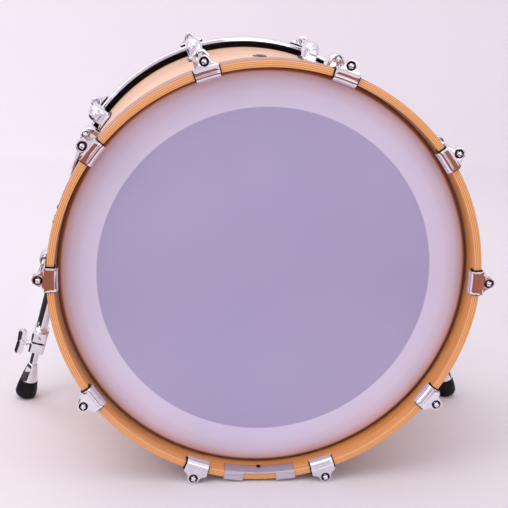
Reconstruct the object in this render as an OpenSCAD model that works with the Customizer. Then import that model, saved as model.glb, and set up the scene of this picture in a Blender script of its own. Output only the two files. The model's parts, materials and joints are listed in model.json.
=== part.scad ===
// Bass drum: a maple shell with a film head, a hoop and ten claw hooks at each end,
// one single-ended lug for every tension rod, and two folding, telescopic spur legs.
// +Z is up, the drum's axis lies along Y, and the batter head faces -Y.
// The origin is on the floor, under the middle of the drum. Lengths are in millimetres.

/* [Shell] */
// Outside diameter of the shell
shell_d = 556; // [440:1:680]
// Length of the shell between its two bearing edges
shell_len = 355.6; // [290:0.1:460]
// Wall thickness of the shell
shell_t = 7; // [5:0.1:10]
// How far the bearing edge's peak sits in from the outer wall
edge_inset = 2.5; // [2:0.1:4]
// Width of the bearing edge's peak
edge_flat = 1; // [0.5:0.1:2]
// Height of the outer slope of the bearing edge
edge_drop = 3.6; // [2.5:0.1:5]

/* [Heads] */
// Thickness of a head's film
film_t = 0.4; // [0.3:0.05:1]
// Radial room between the shell and a flesh hoop
flesh_room = 2.3; // [1.5:0.1:4]
// Radial width of a flesh hoop
flesh_w = 7; // [5:0.1:9]
// Height of a flesh hoop along the drum
flesh_h = 8; // [6:0.1:12]
// Depth that the film sits in the flesh hoop
film_seat = 6; // [3:0.1:7]
// Width of the damping ring bonded behind the batter film
muffle_w = 45; // [20:0.5:80]
// Thickness of the damping ring
muffle_t = 0.25; // [0.2:0.05:1]

/* [Hoops] */
// Radial thickness of a hoop
hoop_t = 9.8; // [8:0.1:14]
// Radial room between the shell's wall and a hoop's inner wall
hoop_room = 4.7; // [4:0.1:8]
// Width of a hoop along the drum
hoop_w = 40; // [34:0.5:50]
// How far a hoop's front edge stands out past the bearing edge
overhang = 33.2; // [27:0.1:38]
// Corner radius of the wooden hoop
hoop_edge_r = 1.8; // [0.8:0.1:3]
// Thickness of the front hoop's plated steel skin
skin_t = 1.5; // [1:0.1:2.5]

/* [Claws and rods] */
// Claw hooks at each end, one for each tension rod
claw_n = 10; // [8:1:12]
// Gap between a hoop's outer wall and the tension rods' axes
rod_gap = 9.8; // [8.8:0.1:12]
// Diameter of a tension rod
rod_d = 5.8; // [5:0.1:6.4]
// Side of the square key head
key_w = 5.6; // [5:0.1:6.4]
// Length of the square key head
key_h = 5; // [4:0.1:7]
// Depth to which a rod reaches past its lug's mouth
rod_reach = 24; // [20:0.5:26]
// Width of a claw across the hoop
claw_w = 32.5; // [28:0.5:38]
// Thickness of a claw's plate
claw_t = 2.5; // [2:0.1:4]
// Depth of a claw's inner lip
claw_lip = 12; // [8:0.5:16]
// Depth of a claw's outer skirt
claw_skirt = 14; // [10:0.5:20]
// Radius of the round ear that carries the rod
ear_r = 8; // [7.5:0.1:9]
// Thickness of the rubber between claw and hoop
pad_t = 1.5; // [1:0.1:2.5]
// How far the rubber shows past each side of a claw
pad_proud = 1.6; // [0.5:0.1:3]

/* [Lugs] */
// Distance from the bearing edge to a lug's mouth
lug_inset = 57; // [45:0.5:70]
// Overall length of a lug
lug_len = 52; // [46:0.5:60]
// Width of a lug's foot
lug_w = 26; // [24:0.5:32]
// Width of the domed body
dome_w = 24; // [22:0.5:26]
// Length of the domed body
dome_len = 31; // [29:0.5:36]
// Width of the fin behind the dome
fin_w = 11.5; // [8:0.5:14]
// Thickness of a lug's gasket
gasket_t = 1.5; // [0.5:0.1:2]
// Diameter of the screws through the shell
screw_d = 5; // [4:0.1:6]

/* [Spur legs] */
// Angle of the spur brackets below the drum's middle
spur_drop = 15; // [12:0.5:24]
// Distance from the shell's wall out to the leg's pivot
pivot_off = 36.5; // [36:0.5:46]
// Distance of the pivot in front of the drum's middle
pivot_y = 51; // [40:0.5:62]
// Lean of a leg away from the drum, in degrees
spur_lean = 14; // [8:0.5:20]
// Lean of a leg towards the front, in degrees
spur_rake = 11; // [4:0.5:15]
// Diameter of the outer tube
tube_d = 18.5; // [17:0.1:22]
// Wall of the outer tube
tube_t = 1.6; // [1:0.1:2.2]
// Diameter of the sliding rod
leg_rod_d = 11.8; // [10:0.1:13]
// Length of sliding rod in sight between clamp and ferrule
rod_show = 27.5; // [8:0.5:40]
// Diameter of the rubber foot
foot_d = 34; // [29:0.5:42]
// Height of the rubber foot
foot_h = 32; // [24:0.5:40]

/* [Vent and pedal plate] */
// Bore of the air vent
vent_d = 9; // [6:0.1:12]
// Flange diameter of the vent grommet
vent_flange_d = 21; // [18:0.1:26]
// Half angle of the pedal plate around the hoop, in degrees
plate_half = 10; // [7:0.1:12]
// Angle taken by each wrapped tab, in degrees
tab_angle = 5.4; // [4:0.1:7]
// Depth of the pedal plate from the hoop's edge
plate_depth = 22; // [16:0.5:30]
// Thickness of the pedal plate
plate_t = 1.6; // [1:0.1:2.4]

/* [Hidden] */

chrome = [0.86, 0.86, 0.89];
steel = [0.66, 0.66, 0.70];
black = [0.06, 0.06, 0.07];
maple = [0.91, 0.77, 0.62];
honey = [0.87, 0.58, 0.30];
film_white = [0.86, 0.83, 0.90];

fit = 0.05;          // running clearance of a shaft in its hole, on the radius
gap = 0.3;           // room between faces of pieces that turn past each other
eps = 0.1;           // overshoot of a cut past the face it leaves
big = 160;           // facets of the large rings
mid = 48;            // facets of small round pieces

// Radii from the drum's axis
shell_r = shell_d / 2;
shell_in_r = shell_r - shell_t;
hoop_in_r = shell_r + hoop_room;
hoop_r = hoop_in_r + hoop_t;
rod_r = hoop_r + rod_gap;
flesh_in_r = shell_r + flesh_room;
flesh_r = flesh_in_r + flesh_w;
peak_r = shell_r - edge_inset;
seat_r = shell_r + flesh_room + 0.8;
lug_base_r = shell_r + gasket_t;

// Round top of the lugs, just over the swivel nut's pocket
pocket_r = 5.6;
pocket_wall = 1.2;
dome_top_r = rod_r + pocket_r + pocket_wall;

// The lowest ears or lugs and the two rubber feet stand on the floor
half_pitch = 180 / claw_n;
axis_h = max(rod_r * cos(half_pitch) + ear_r,
    (dome_top_r - dome_w / 2) * cos(half_pitch) + dome_w / 2);

// Depths are counted inwards from the plane of a hoop's front edge
half_len = shell_len / 2 + overhang;
flesh_y = hoop_w;
mouth_y = overhang + lug_inset;
shell_in_y = 2 * half_len - overhang;

// Ear and head of the tension rods
face_y = -(pad_t + claw_t);
recess_r = ear_r - 1.8;
recess_depth = 3.4;
washer_t = 1;
collar_t = 1.4;
collar_r = 4.2;
ear_back = 8;
rod_hole_r = rod_d / 2 + 0.4;
head_y = face_y + recess_depth - washer_t - gap / 2;

// Lug
nut_r = 4.5;
nut_len = 14;
nut_flange_r = 5.2;
nut_flange_t = 3;
pocket_w = 10.6;
pocket_low = 14;
pocket_depth = 11;
screw_ys = [20, 43];
screw_head_r = 4.8;
screw_head_t = 3;
screw_washer_r = 6.5;
screw_washer_t = 1.2;
screw_bite = 8;

// Spur leg: s is the distance down the leg from its pivot
knuckle_r = tube_d / 2 + 4.75;
knuckle_half = tube_d / 2 + 0.75;
bolt_r = 5;
bolt_head_r = 9;
bolt_head_t = 5;
flange_r = 22.5;
flange_t = 4;
pivot_r = shell_r + pivot_off;
pivot_h = axis_h - pivot_r * sin(spur_drop);
leg_tilt = acos(cos(spur_lean) * cos(spur_rake));
foot_corner = 8;
foot_flat_r = foot_d / 2 - foot_corner;
foot_s = (pivot_h - foot_flat_r * sin(leg_tilt) - foot_corner) / cos(leg_tilt) + foot_corner;
foot_top_s = foot_s - foot_h;
ferrule_h = 31;
ferrule_s = foot_top_s - gap - ferrule_h;
clamp_h = 37.5;
clamp_w = tube_d + 6;
clamp_d = tube_d + 8.5;
clamp_s = ferrule_s - rod_show - clamp_h;
clamp_upper = 17;
clamp_slot = 3.6;
rod_top_s = knuckle_r + 5;
bush_h = 9;
tip_r = 4;
tip_len = 20;
wing_s = clamp_s + (clamp_upper + clamp_slot + clamp_h) / 2;
wing_shank_r = 3;
wing_hub_x = clamp_w / 2 + 3;
wing_hub_len = 13;
bracket_len = 66;
bracket_w = 44;
bracket_t = 5;
bracket_screw_dy = 24;
bracket_screw_dx = 14;

// ---- helpers ----------------------------------------------------------------

// Points on an arc, for outlines
function arc(cx, cy, r, a0, a1, n = 6) =
    [for (k = [0 : n]) let (a = a0 + (a1 - a0) * k / n) [cx + r * cos(a), cy + r * sin(a)]];

// A rectangle with round corners, centred
module rounded_rect(w, h, r) {
    square([w - 2 * r, h], center = true);
    square([w, h - 2 * r], center = true);
    for (sx = [-1, 1], sy = [-1, 1])
        translate([sx * (w / 2 - r), sy * (h / 2 - r)]) circle(r, $fn = 32);
}

// The batter end, or its mirror image at the front
module at_end(front) {
    mirror([0, front ? 1 : 0, 0]) translate([0, -half_len, axis_h]) children();
}

// Turns an outline of radius and depth into a ring around the drum's axis
module ring(front) {
    at_end(front) rotate([-90, 0, 0]) rotate_extrude($fn = big) children();
}

// Tangent is X, depth is Y and the radius is Z, at claw number i
module at_claw(front, i) {
    at_end(front) rotate([0, (i + 0.5) * 360 / claw_n, 0]) children();
}

module at_all_claws(front) {
    for (i = [0 : claw_n - 1]) at_claw(front, i) children();
}

// A short stretch of a ring, centred on the local Z axis
module arc_piece(width, r) {
    a = 2 * asin(width / 2 / r);
    rotate([-90, 0, 0]) rotate([0, 0, -90 - a / 2]) rotate_extrude(angle = a, $fn = big) children();
}

// A round piece along the depth, on the rod's axis
module along(y0, y1, r, fn = mid) {
    translate([0, y0, rod_r]) rotate([-90, 0, 0]) cylinder(r = r, h = y1 - y0, $fn = fn);
}

// Solid wall of revolution around the drum's axis, for cutting what fits the shell
module drum_cylinder(r, y0, y1) {
    translate([0, y0, 0]) rotate([-90, 0, 0]) cylinder(r = r, h = y1 - y0, $fn = big);
}

// Places on the shell where a screw goes through, for both ends' lugs
module at_lug_screws(front) {
    at_all_claws(front)
        for (dy = screw_ys) translate([0, mouth_y + dy, 0]) children();
}

// Spur brackets: Z is the radius, on the right and mirrored on the left
module at_bracket(left) {
    mirror([left ? 1 : 0, 0, 0]) translate([0, pivot_y, axis_h]) rotate([0, 90 + spur_drop, 0]) children();
}

module at_bracket_screws(left) {
    at_bracket(left)
        for (sx = [-1, 1], sy = [-1, 1])
            translate([sx * bracket_screw_dx, sy * bracket_screw_dy, 0]) children();
}

// Leg frame: the hinge axis is X, pointing away from the drum, and the leg runs down -Z
module at_leg(left) {
    mirror([left ? 1 : 0, 0, 0])
        translate([pivot_r * cos(spur_drop), pivot_y, pivot_h])
            rotate([0, -spur_lean, 0]) rotate([spur_rake, 0, 0]) children();
}

// A round piece down the leg
module down(s0, s1, r0, r1) {
    translate([0, 0, -s1]) cylinder(r1 = r1, r2 = r0, h = s1 - s0, $fn = mid);
}

// ---- shell and heads ----------------------------------------------------------

module shell_outline() {
    y0 = overhang;
    y1 = overhang + shell_len;
    slope = peak_r - edge_flat - shell_in_r;
    polygon([[peak_r, y0], [shell_r, y0 + edge_drop], [shell_r, y1 - edge_drop], [peak_r, y1],
        [peak_r - edge_flat, y1], [shell_in_r, y1 - slope], [shell_in_r, y0 + slope],
        [peak_r - edge_flat, y0]]);
}

module shell() {
    bore = shell_t + 12;
    color(maple) difference() {
        ring(false) shell_outline();
        for (front = [false, true])
            at_lug_screws(front) translate([0, 0, shell_in_r - 6])
                cylinder(r = screw_d / 2 + 0.1, h = bore, $fn = 24);
        for (left = [false, true])
            at_bracket_screws(left) translate([0, 0, shell_in_r - 8])
                cylinder(r = screw_d / 2 + 0.1, h = bore, $fn = 24);
        translate([0, 0, axis_h + shell_in_r - 6])
            cylinder(r = vent_d / 2 + 1.5 + fit, h = bore, $fn = mid);
    }
}

module vent_grommet() {
    r = vent_d / 2;
    top = 2.2;
    color(chrome) translate([0, 0, axis_h + shell_r]) rotate_extrude($fn = mid)
        polygon(concat([[r, -shell_t - 2.5], [r + 1.5, -shell_t - 2.5], [r + 1.5, 0.15],
            [vent_flange_d / 2, 0.15]],
            arc(vent_flange_d / 2 - 2, 0.15, 2, 0, 60, 4),
            [[r + 1.4, top]], arc(r + 1.2, top - 1.2, 1.2, 90, 180, 4)));
}

// Film: flat over the shell, down the collar and into the flesh hoop
module film_outline() {
    y0 = overhang;
    t = film_t;
    polygon([[0, y0 - t], [peak_r + 0.2, y0 - t], [peak_r + 0.8, y0 - t + 0.25], [seat_r + t, hoop_w - 0.2],
        [seat_r + t, flesh_y + film_seat], [seat_r, flesh_y + film_seat], [seat_r, hoop_w],
        [peak_r + 0.2, y0 + 0.1], [peak_r, y0], [0, y0]]);
}

module flesh_outline() {
    slot = 0.1;
    difference() {
        translate([flesh_in_r, flesh_y]) square([flesh_w, flesh_h]);
        translate([seat_r - slot, flesh_y - eps]) square([film_t + 2 * slot, film_seat + slot + eps]);
    }
}

module batter_film() { color(film_white) ring(false) film_outline(); }
module front_film() { color(film_white) ring(true) film_outline(); }
module batter_flesh_hoop() { color(steel) ring(false) flesh_outline(); }
module front_flesh_hoop() { color(black) ring(true) flesh_outline(); }

module batter_muffle_ring() {
    out_r = peak_r - edge_flat - 1;
    color([0.93, 0.91, 0.95]) ring(false)
        translate([out_r - muffle_w, overhang]) square([muffle_w, muffle_t]);
}

// ---- hoops --------------------------------------------------------------------

module batter_hoop() {
    e = hoop_edge_r;
    plate_hole_y = plate_depth - 4;
    color(honey) difference() {
        ring(false) polygon(concat(arc(hoop_in_r + e, e, e, 180, 270, 5), arc(hoop_r - e, e, e, 270, 360, 5),
            arc(hoop_r - e, hoop_w - e, e, 0, 90, 5), arc(hoop_in_r + e, hoop_w - e, e, 90, 180, 5)));
        at_end(false) translate([0, plate_hole_y, -hoop_in_r - 7]) cylinder(r = 1.6, h = 12, $fn = 24);
    }
}

// Pressed steel: an outer wall whose rounded front edge and whose back edge are turned
// in over the core
module front_hoop() {
    s = skin_t;
    e = 4;
    b = s + 0.5;
    color(chrome) ring(true) polygon(concat([[hoop_in_r, s], [hoop_in_r, 0.4], [hoop_in_r + 0.4, 0]],
        arc(hoop_r - e, e, e, 270, 360, 6), arc(hoop_r - b, hoop_w - b, b, 0, 90, 4),
        [[hoop_in_r + 0.4, hoop_w], [hoop_in_r, hoop_w - 0.4], [hoop_in_r, hoop_w - s], [hoop_r - s, hoop_w - s]],
        arc(hoop_r - e, e, e - s, 360, 270, 6)));
}

module front_hoop_core() {
    s = skin_t;
    e = 4;
    color(black) ring(true) polygon(concat([[hoop_in_r, s]],
        arc(hoop_r - e, e, e - s, 270, 360, 6), [[hoop_r - s, hoop_w - s], [hoop_in_r, hoop_w - s]]));
}

// Protects the hoop where a pedal's clamp bites: a sheet on the inner wall with two
// tabs that turn over the front edge and under the hoop
module pedal_plate() {
    t = plate_t;
    tab_under = 14;
    r0 = hoop_in_r - t;
    color(steel) difference() {
        at_end(false) rotate([-90, 0, 0]) {
            rotate([0, 0, 90 - plate_half]) rotate_extrude(angle = 2 * plate_half, $fn = big)
                translate([r0, -t]) square([t, plate_depth + t]);
            for (a = [90 - plate_half, 90 + plate_half - tab_angle])
                rotate([0, 0, a]) rotate_extrude(angle = tab_angle, $fn = big)
                    union() {
                        translate([r0, -t]) square([hoop_t + 2 * t, t]);
                        translate([hoop_r, -t]) square([t, tab_under + t]);
                    }
        }
        at_end(false) translate([0, plate_depth - 4, -hoop_in_r - eps]) cylinder(r = 1.6, h = 6, $fn = 24);
    }
}

module pedal_plate_screw() {
    color(steel) at_end(false) translate([0, plate_depth - 4, 0]) {
        translate([0, 0, -hoop_in_r - 6]) cylinder(r = 1.5, h = 6.1 + plate_t, $fn = 24);
        translate([0, 0, -hoop_in_r + plate_t + 0.03]) cylinder(r1 = 3.2, r2 = 2.2, h = 1.6, $fn = 24);
    }
}

// ---- claws, pads and tension rods ----------------------------------------------

module claw_outline() {
    lip_r = hoop_in_r - pad_t - 4;
    bend = 8;
    polygon(concat([[lip_r, claw_lip]], arc(lip_r + bend, face_y + bend, bend, 180, 270, 6),
        [[hoop_r + pad_t + 2, face_y], [hoop_r + pad_t + 2, claw_skirt], [hoop_r + pad_t, claw_skirt],
        [hoop_r + pad_t, -pad_t], [hoop_in_r - pad_t, -pad_t], [hoop_in_r - pad_t, claw_lip]]));
}

module claw() {
    shoulder = hoop_r + pad_t + 2;
    side = claw_w / 2;
    neck = side - 6.25;
    difference() {
        union() {
            arc_piece(claw_w, hoop_r) claw_outline();
            translate([0, face_y + claw_t + 3, 0]) rotate([90, 0, 0]) linear_extrude(claw_t + 3)
                polygon([[-side + 0.3, shoulder - 1.4], [-side + 1.5, shoulder + 0.2],
                    [-neck - 2.4, shoulder + 1.2], [-neck, shoulder + 2.8], [-ear_r + 1, rod_r + 1],
                    [0, rod_r + 2], [ear_r - 1, rod_r + 1], [neck, shoulder + 2.8],
                    [neck + 2.4, shoulder + 1.2], [side - 1.5, shoulder + 0.2], [side - 0.3, shoulder - 1.4]]);
            difference() {
                along(face_y, ear_back, ear_r);
                drum_cylinder(hoop_r + pad_t + 0.1, -pad_t, ear_back + 1);
            }
        }
        along(face_y - eps, face_y + recess_depth, recess_r);
        along(face_y, ear_back + eps, rod_hole_r, 32);
    }
}

module claws(front) { color(chrome) at_all_claws(front) claw(); }
module batter_claws() { claws(false); }
module front_claws() { claws(true); }

module claw_pads() {
    color(black) for (front = [false, true])
        at_all_claws(front) arc_piece(claw_w + 2 * pad_proud, hoop_r) difference() {
            translate([hoop_in_r - pad_t, -pad_t]) square([hoop_t + 2 * pad_t, claw_skirt + pad_t + 1]);
            translate([hoop_in_r, 0]) square([hoop_t, claw_skirt + 2]);
            translate([hoop_in_r - pad_t - eps, claw_lip + 1]) square([pad_t + 2 * eps, claw_skirt]);
        }
}

module rod_washers() {
    y0 = face_y + recess_depth - washer_t;
    color(black) for (front = [false, true])
        at_all_claws(front) difference() {
            along(y0, y0 + washer_t, recess_r - fit);
            along(y0 - eps, y0 + washer_t + eps, rod_hole_r, 32);
        }
}

module tension_rod(front, i) {
    color(chrome) at_claw(front, i) {
        along(head_y - collar_t, head_y, collar_r);
        along(head_y - eps, mouth_y + rod_reach, rod_d / 2, 24);
        translate([0, head_y - collar_t - key_h / 2 + eps / 2, rod_r])
            cube([key_w, key_h + eps, key_w], center = true);
    }
}

// ---- lugs -----------------------------------------------------------------------

module lug() {
    corner = 12;
    top = dome_top_r;
    dome_r = dome_w / 2;
    fin_top = rod_r + 2;
    ridge = 0.7;         // the side outline passes over the round top and only shapes its ends
    difference() {
        union() {
            // foot that follows the shell
            translate([0, mouth_y + lug_len / 2, shell_r - 6]) linear_extrude(6 + gasket_t + 3.5)
                rounded_rect(lug_w, lug_len, 6);
            // domed body over the swivel nut
            intersection() {
                translate([0, mouth_y + dome_len, 0]) rotate([90, 0, 0]) linear_extrude(dome_len) {
                    translate([-dome_r, shell_r - 4]) square([dome_w, top - dome_r - shell_r + 4]);
                    translate([0, top - dome_r]) circle(dome_r, $fn = mid);
                }
                translate([-dome_w, mouth_y, 0]) rotate([90, 0, 90]) linear_extrude(2 * dome_w)
                    polygon(concat([[0, shell_r - 6], [dome_len, shell_r - 6]],
                        arc(dome_len - corner, top - corner + ridge, corner, 0, 90, 6),
                        arc(3, top - 3 + ridge, 3, 90, 180, 3)));
            }
            // fin
            intersection() {
                translate([0, mouth_y + lug_len - 3, 0]) rotate([90, 0, 0]) linear_extrude(lug_len - 15) {
                    translate([-fin_w / 2, shell_r - 4]) square([fin_w, fin_top - fin_w / 2 - shell_r + 4]);
                    translate([0, fin_top - fin_w / 2]) circle(fin_w / 2, $fn = mid);
                }
                translate([-dome_w, mouth_y, 0]) rotate([90, 0, 90]) linear_extrude(2 * dome_w)
                    polygon(concat([[dome_len - 20, shell_r - 6], [lug_len - 3, shell_r - 6]],
                        arc(lug_len - 12, fin_top - 9 + ridge, 9, 0, 90, 5), [[dome_len - 20, fin_top + ridge]]));
            }
        }
        drum_cylinder(lug_base_r, mouth_y - 10, mouth_y + lug_len + 10);
        along(mouth_y - eps, mouth_y + pocket_depth, pocket_r);
        translate([-pocket_w / 2, mouth_y - eps, rod_r - pocket_low])
            cube([pocket_w, pocket_depth + eps, pocket_low]);
        along(mouth_y, mouth_y + pocket_depth + nut_len + 1, nut_r + fit);
        for (dy = screw_ys)
            translate([0, mouth_y + dy, shell_r])
                cylinder(r = screw_d / 2 + fit, h = gasket_t + screw_bite + 1, $fn = 24);
    }
}

module lugs(front) { color(chrome) at_all_claws(front) lug(); }
module batter_lugs() { lugs(false); }
module front_lugs() { lugs(true); }

// A gasket with the outline of its piece, between the shell and the piece
module shell_gasket(w, len, r) {
    intersection() {
        translate([0, 0, shell_r - 8]) linear_extrude(8 + gasket_t) rounded_rect(w, len, r);
        difference() {
            drum_cylinder(lug_base_r, -len, len);
            drum_cylinder(shell_r, -len - 1, len + 1);
        }
    }
}

module lug_gaskets() {
    color(black) for (front = [false, true])
        at_all_claws(front) translate([0, mouth_y + lug_len / 2, 0]) difference() {
            shell_gasket(lug_w + 2, lug_len + 2, 7);
            for (dy = screw_ys)
                translate([0, dy - lug_len / 2, shell_r - 8]) cylinder(r = screw_d / 2 + 0.1, h = 20, $fn = 24);
        }
}

module swivel_nuts() {
    y0 = mouth_y + pocket_depth;
    color(steel) for (front = [false, true])
        at_all_claws(front) difference() {
            union() {
                along(y0 - nut_flange_t, y0, nut_flange_r);
                along(y0 - eps, y0 + nut_len, nut_r);
            }
            along(y0 - nut_flange_t - eps, y0 + nut_len + eps, rod_d / 2 + fit, 32);
        }
}

// Screw from inside the shell: the head's bearing face is at z = 0
module shell_screw(bite) {
    grip = screw_washer_t + 0.1 + shell_t + gasket_t;
    translate([0, 0, -screw_head_t]) cylinder(r1 = screw_head_r - 1, r2 = screw_head_r, h = screw_head_t, $fn = 24);
    translate([0, 0, -eps]) cylinder(r = screw_d / 2, h = grip + bite, $fn = 24);
}

module shell_screw_washer() {
    difference() {
        cylinder(r = screw_washer_r, h = screw_washer_t, $fn = 32);
        translate([0, 0, -eps]) cylinder(r = screw_d / 2 + 0.1, h = screw_washer_t + 2 * eps, $fn = 24);
    }
}

screw_seat_r = shell_in_r - 0.1 - screw_washer_t;

module lug_screws() {
    color(steel) for (front = [false, true])
        at_lug_screws(front) translate([0, 0, screw_seat_r]) shell_screw(screw_bite);
}

module lug_screw_washers() {
    color(steel) for (front = [false, true])
        at_lug_screws(front) translate([0, 0, screw_seat_r]) shell_screw_washer();
}

// ---- spur legs --------------------------------------------------------------------

// The place of the shell's wall under a bracket screw, which stands off the middle line
bracket_sag = shell_r - sqrt(shell_r * shell_r - bracket_screw_dx * bracket_screw_dx);

module spur_bracket(left) {
    boss_len = pivot_off + 16;
    difference() {
        union() {
            at_bracket(left) translate([0, 0, shell_r - 8]) linear_extrude(8 + gasket_t + bracket_t)
                rounded_rect(bracket_w, bracket_len, 12);
            at_leg(left) rotate([-spur_rake, 0, 0]) rotate([0, -90, 0]) {
                translate([0, 0, knuckle_half + gap]) cylinder(r = flange_r, h = flange_t, $fn = mid);
                translate([0, 0, knuckle_half + gap + flange_t - eps])
                    cylinder(r1 = 15, r2 = 19, h = boss_len - knuckle_half, $fn = mid);
            }
            // stop that the leg stands against
            at_leg(left) translate([-knuckle_half - gap - flange_t + 1, tube_d / 2 + gap, -17])
                cube([knuckle_half + flange_t + 3, 4.6, 5.6]);
        }
        mirror([left ? 1 : 0, 0, 0]) translate([0, 0, axis_h])
            drum_cylinder(lug_base_r, pivot_y - bracket_len, pivot_y + bracket_len);
        at_leg(left) rotate([0, -90, 0])
            cylinder(r = bolt_r + fit, h = knuckle_half + 30, $fn = mid);
        at_bracket_screws(left) translate([0, 0, shell_r - 2])
            cylinder(r = screw_d / 2 + fit, h = gasket_t + 6, $fn = 24);
    }
}

module spur_brackets() { color(chrome) for (left = [true, false]) spur_bracket(left); }

module spur_bracket_gaskets() {
    color(black) for (left = [true, false]) difference() {
        at_bracket(left) shell_gasket(bracket_w + 2, bracket_len + 2, 13);
        at_bracket_screws(left) translate([0, 0, shell_r - 8]) cylinder(r = screw_d / 2 + 0.1, h = 20, $fn = 24);
    }
}

module spur_bracket_screws() {
    color(steel) for (left = [true, false])
        at_bracket_screws(left) translate([0, 0, screw_seat_r - bracket_sag - 0.3]) shell_screw(4);
}

module spur_pivot_bolts() {
    color(chrome) for (left = [true, false])
        at_leg(left) rotate([0, -90, 0]) {
            translate([0, 0, -knuckle_half - gap]) cylinder(r = bolt_r, h = 2 * knuckle_half + 28, $fn = mid);
            translate([0, 0, -knuckle_half - gap - bolt_head_t])
                cylinder(r1 = bolt_head_r - 2, r2 = bolt_head_r, h = bolt_head_t, $fn = mid);
        }
}

module leg_tube(left) {
    tube_end = clamp_s + clamp_upper - gap;
    color(chrome) at_leg(left) difference() {
        union() {
            rotate([0, 90, 0]) translate([0, 0, -knuckle_half]) cylinder(r = knuckle_r, h = 2 * knuckle_half, $fn = mid);
            down(0, tube_end, tube_d / 2, tube_d / 2);
        }
        down(knuckle_r + 2, tube_end + 1, tube_d / 2 - tube_t, tube_d / 2 - tube_t);
        rotate([0, 90, 0]) translate([0, 0, -knuckle_half - eps])
            cylinder(r = bolt_r + fit, h = 2 * knuckle_half + 2 * eps, $fn = mid);
    }
}

module leg_clamp(left) {
    slot_s = clamp_s + clamp_upper;
    wall = 6;
    color(chrome) at_leg(left) difference() {
        translate([0, 0, -clamp_s - clamp_h]) linear_extrude(clamp_h) rounded_rect(clamp_w, clamp_d, 3.5);
        down(clamp_s - eps, slot_s, tube_d / 2 + fit, tube_d / 2 + fit);
        down(slot_s - 1, clamp_s + clamp_h + eps, leg_rod_d / 2 + fit, leg_rod_d / 2 + fit);
        translate([-clamp_w / 2 + wall, -clamp_d, -slot_s - clamp_slot]) cube([clamp_w, 2 * clamp_d, clamp_slot]);
        translate([0, 0, -wing_s]) rotate([0, 90, 0]) cylinder(r = wing_shank_r + fit, h = clamp_w, $fn = 32);
        translate([0, 0, -clamp_s - clamp_upper / 2]) rotate([90, 0, 0]) cylinder(r = 1.4, h = clamp_d, $fn = 24);
    }
}

module wing_screw(left) {
    lobe_r = 7.5;
    lobe_s = 13.5;
    lobe_t = 7;
    color(chrome) at_leg(left) translate([0, 0, -wing_s]) {
        rotate([0, 90, 0]) {
            translate([0, 0, leg_rod_d / 2 + gap]) cylinder(r = wing_shank_r, h = wing_hub_x, $fn = 32);
            translate([0, 0, wing_hub_x]) cylinder(r1 = 4.2, r2 = 5.6, h = wing_hub_len, $fn = 32);
        }
        difference() {
            translate([wing_hub_x + 4, lobe_t / 2, 0]) rotate([90, 0, 0]) linear_extrude(lobe_t) {
                for (sz = [-1, 1]) translate([lobe_r, sz * lobe_s]) circle(lobe_r, $fn = mid);
                translate([2.5, -lobe_s]) square([9, 2 * lobe_s]);
            }
            for (sz = [-1, 1]) for (sy = [-1, 1])
                translate([wing_hub_x + 4 + lobe_r, sy * (lobe_t / 2 + 7.4), sz * lobe_s]) sphere(9, $fn = mid);
        }
    }
}

module leg_rod(left) {
    color(chrome) at_leg(left) {
        down(rod_top_s, foot_top_s - gap, leg_rod_d / 2, leg_rod_d / 2);
        down(foot_top_s - gap - eps, foot_top_s + tip_len - 6, tip_r, tip_r);
        down(foot_top_s + tip_len - 6, foot_top_s + tip_len, tip_r, 0.6);
    }
}

module rod_bush(left) {
    y0 = rod_top_s + 2;
    color(black) at_leg(left) difference() {
        down(y0, y0 + bush_h, tube_d / 2 - tube_t - fit, tube_d / 2 - tube_t - fit);
        down(y0 - eps, y0 + bush_h + eps, leg_rod_d / 2, leg_rod_d / 2);
    }
}

// Cone that widens from the rod to the rubber, with a short collar at each end
module ferrule(left) {
    r_top = leg_rod_d / 2 + 1.6;
    r_end = foot_d / 2 - 3.2;
    color(chrome) at_leg(left) translate([0, 0, -ferrule_s]) mirror([0, 0, 1]) rotate_extrude($fn = mid)
        polygon([[leg_rod_d / 2, 0], [r_top - 0.8, 0], [r_top, 0.8], [r_top + 0.6, 6], [r_top + 2.4, 10],
            [r_end - 0.6, ferrule_h - 4], [r_end, ferrule_h - 2], [r_end, ferrule_h], [leg_rod_d / 2, ferrule_h]]);
}

// Rubber foot with a round lower edge, which meets the floor on its corner
module foot(left) {
    r = foot_d / 2;
    top_r = r - 3;
    c = foot_corner;
    color(black) at_leg(left) translate([0, 0, -foot_top_s]) mirror([0, 0, 1]) rotate_extrude($fn = mid)
        polygon(concat([[tip_r + fit, 0], [top_r, 0], [r - 0.6, foot_h * 0.45]],
            arc(r - c, foot_h - c, c, 0, 90, 10),
            [[0, foot_h], [0, tip_len + 1], [1.2, tip_len + 1], [tip_r + fit, tip_len - 5]]));
}

// ---- what is drawn ------------------------------------------------------------------

shell();
vent_grommet();
batter_film();
batter_muffle_ring();
batter_flesh_hoop();
front_film();
front_flesh_hoop();
batter_hoop();
front_hoop();
front_hoop_core();
pedal_plate();
pedal_plate_screw();
batter_claws();
front_claws();
claw_pads();
rod_washers();
batter_lugs();
front_lugs();
lug_gaskets();
swivel_nuts();
lug_screws();
lug_screw_washers();
spur_brackets();
spur_bracket_gaskets();
spur_bracket_screws();
spur_pivot_bolts();
for (i = [0 : 9]) {
    number = str(i < 9 ? "0" : "", i + 1);
    tension_rod(false, i);
    tension_rod(true, i);
}
for (left = [true, false]) {
    side = left ? "left_" : "right_";
    leg_tube(left);
    leg_clamp(left);
    wing_screw(left);
    leg_rod(left);
    rod_bush(left);
    ferrule(left);
    foot(left);
}
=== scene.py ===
# %% [markdown]
# # A 22 by 14 inch bass drum
# A bass drum is a short wooden tube with a film head at each end. Two hoops press the
# heads on, and ten claw hooks with long tension rods pull each hoop in. This lesson
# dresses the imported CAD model: it loads the frame, sets camera and light, builds the
# finishes, and then makes each piece in the CAD model's own place.

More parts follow.
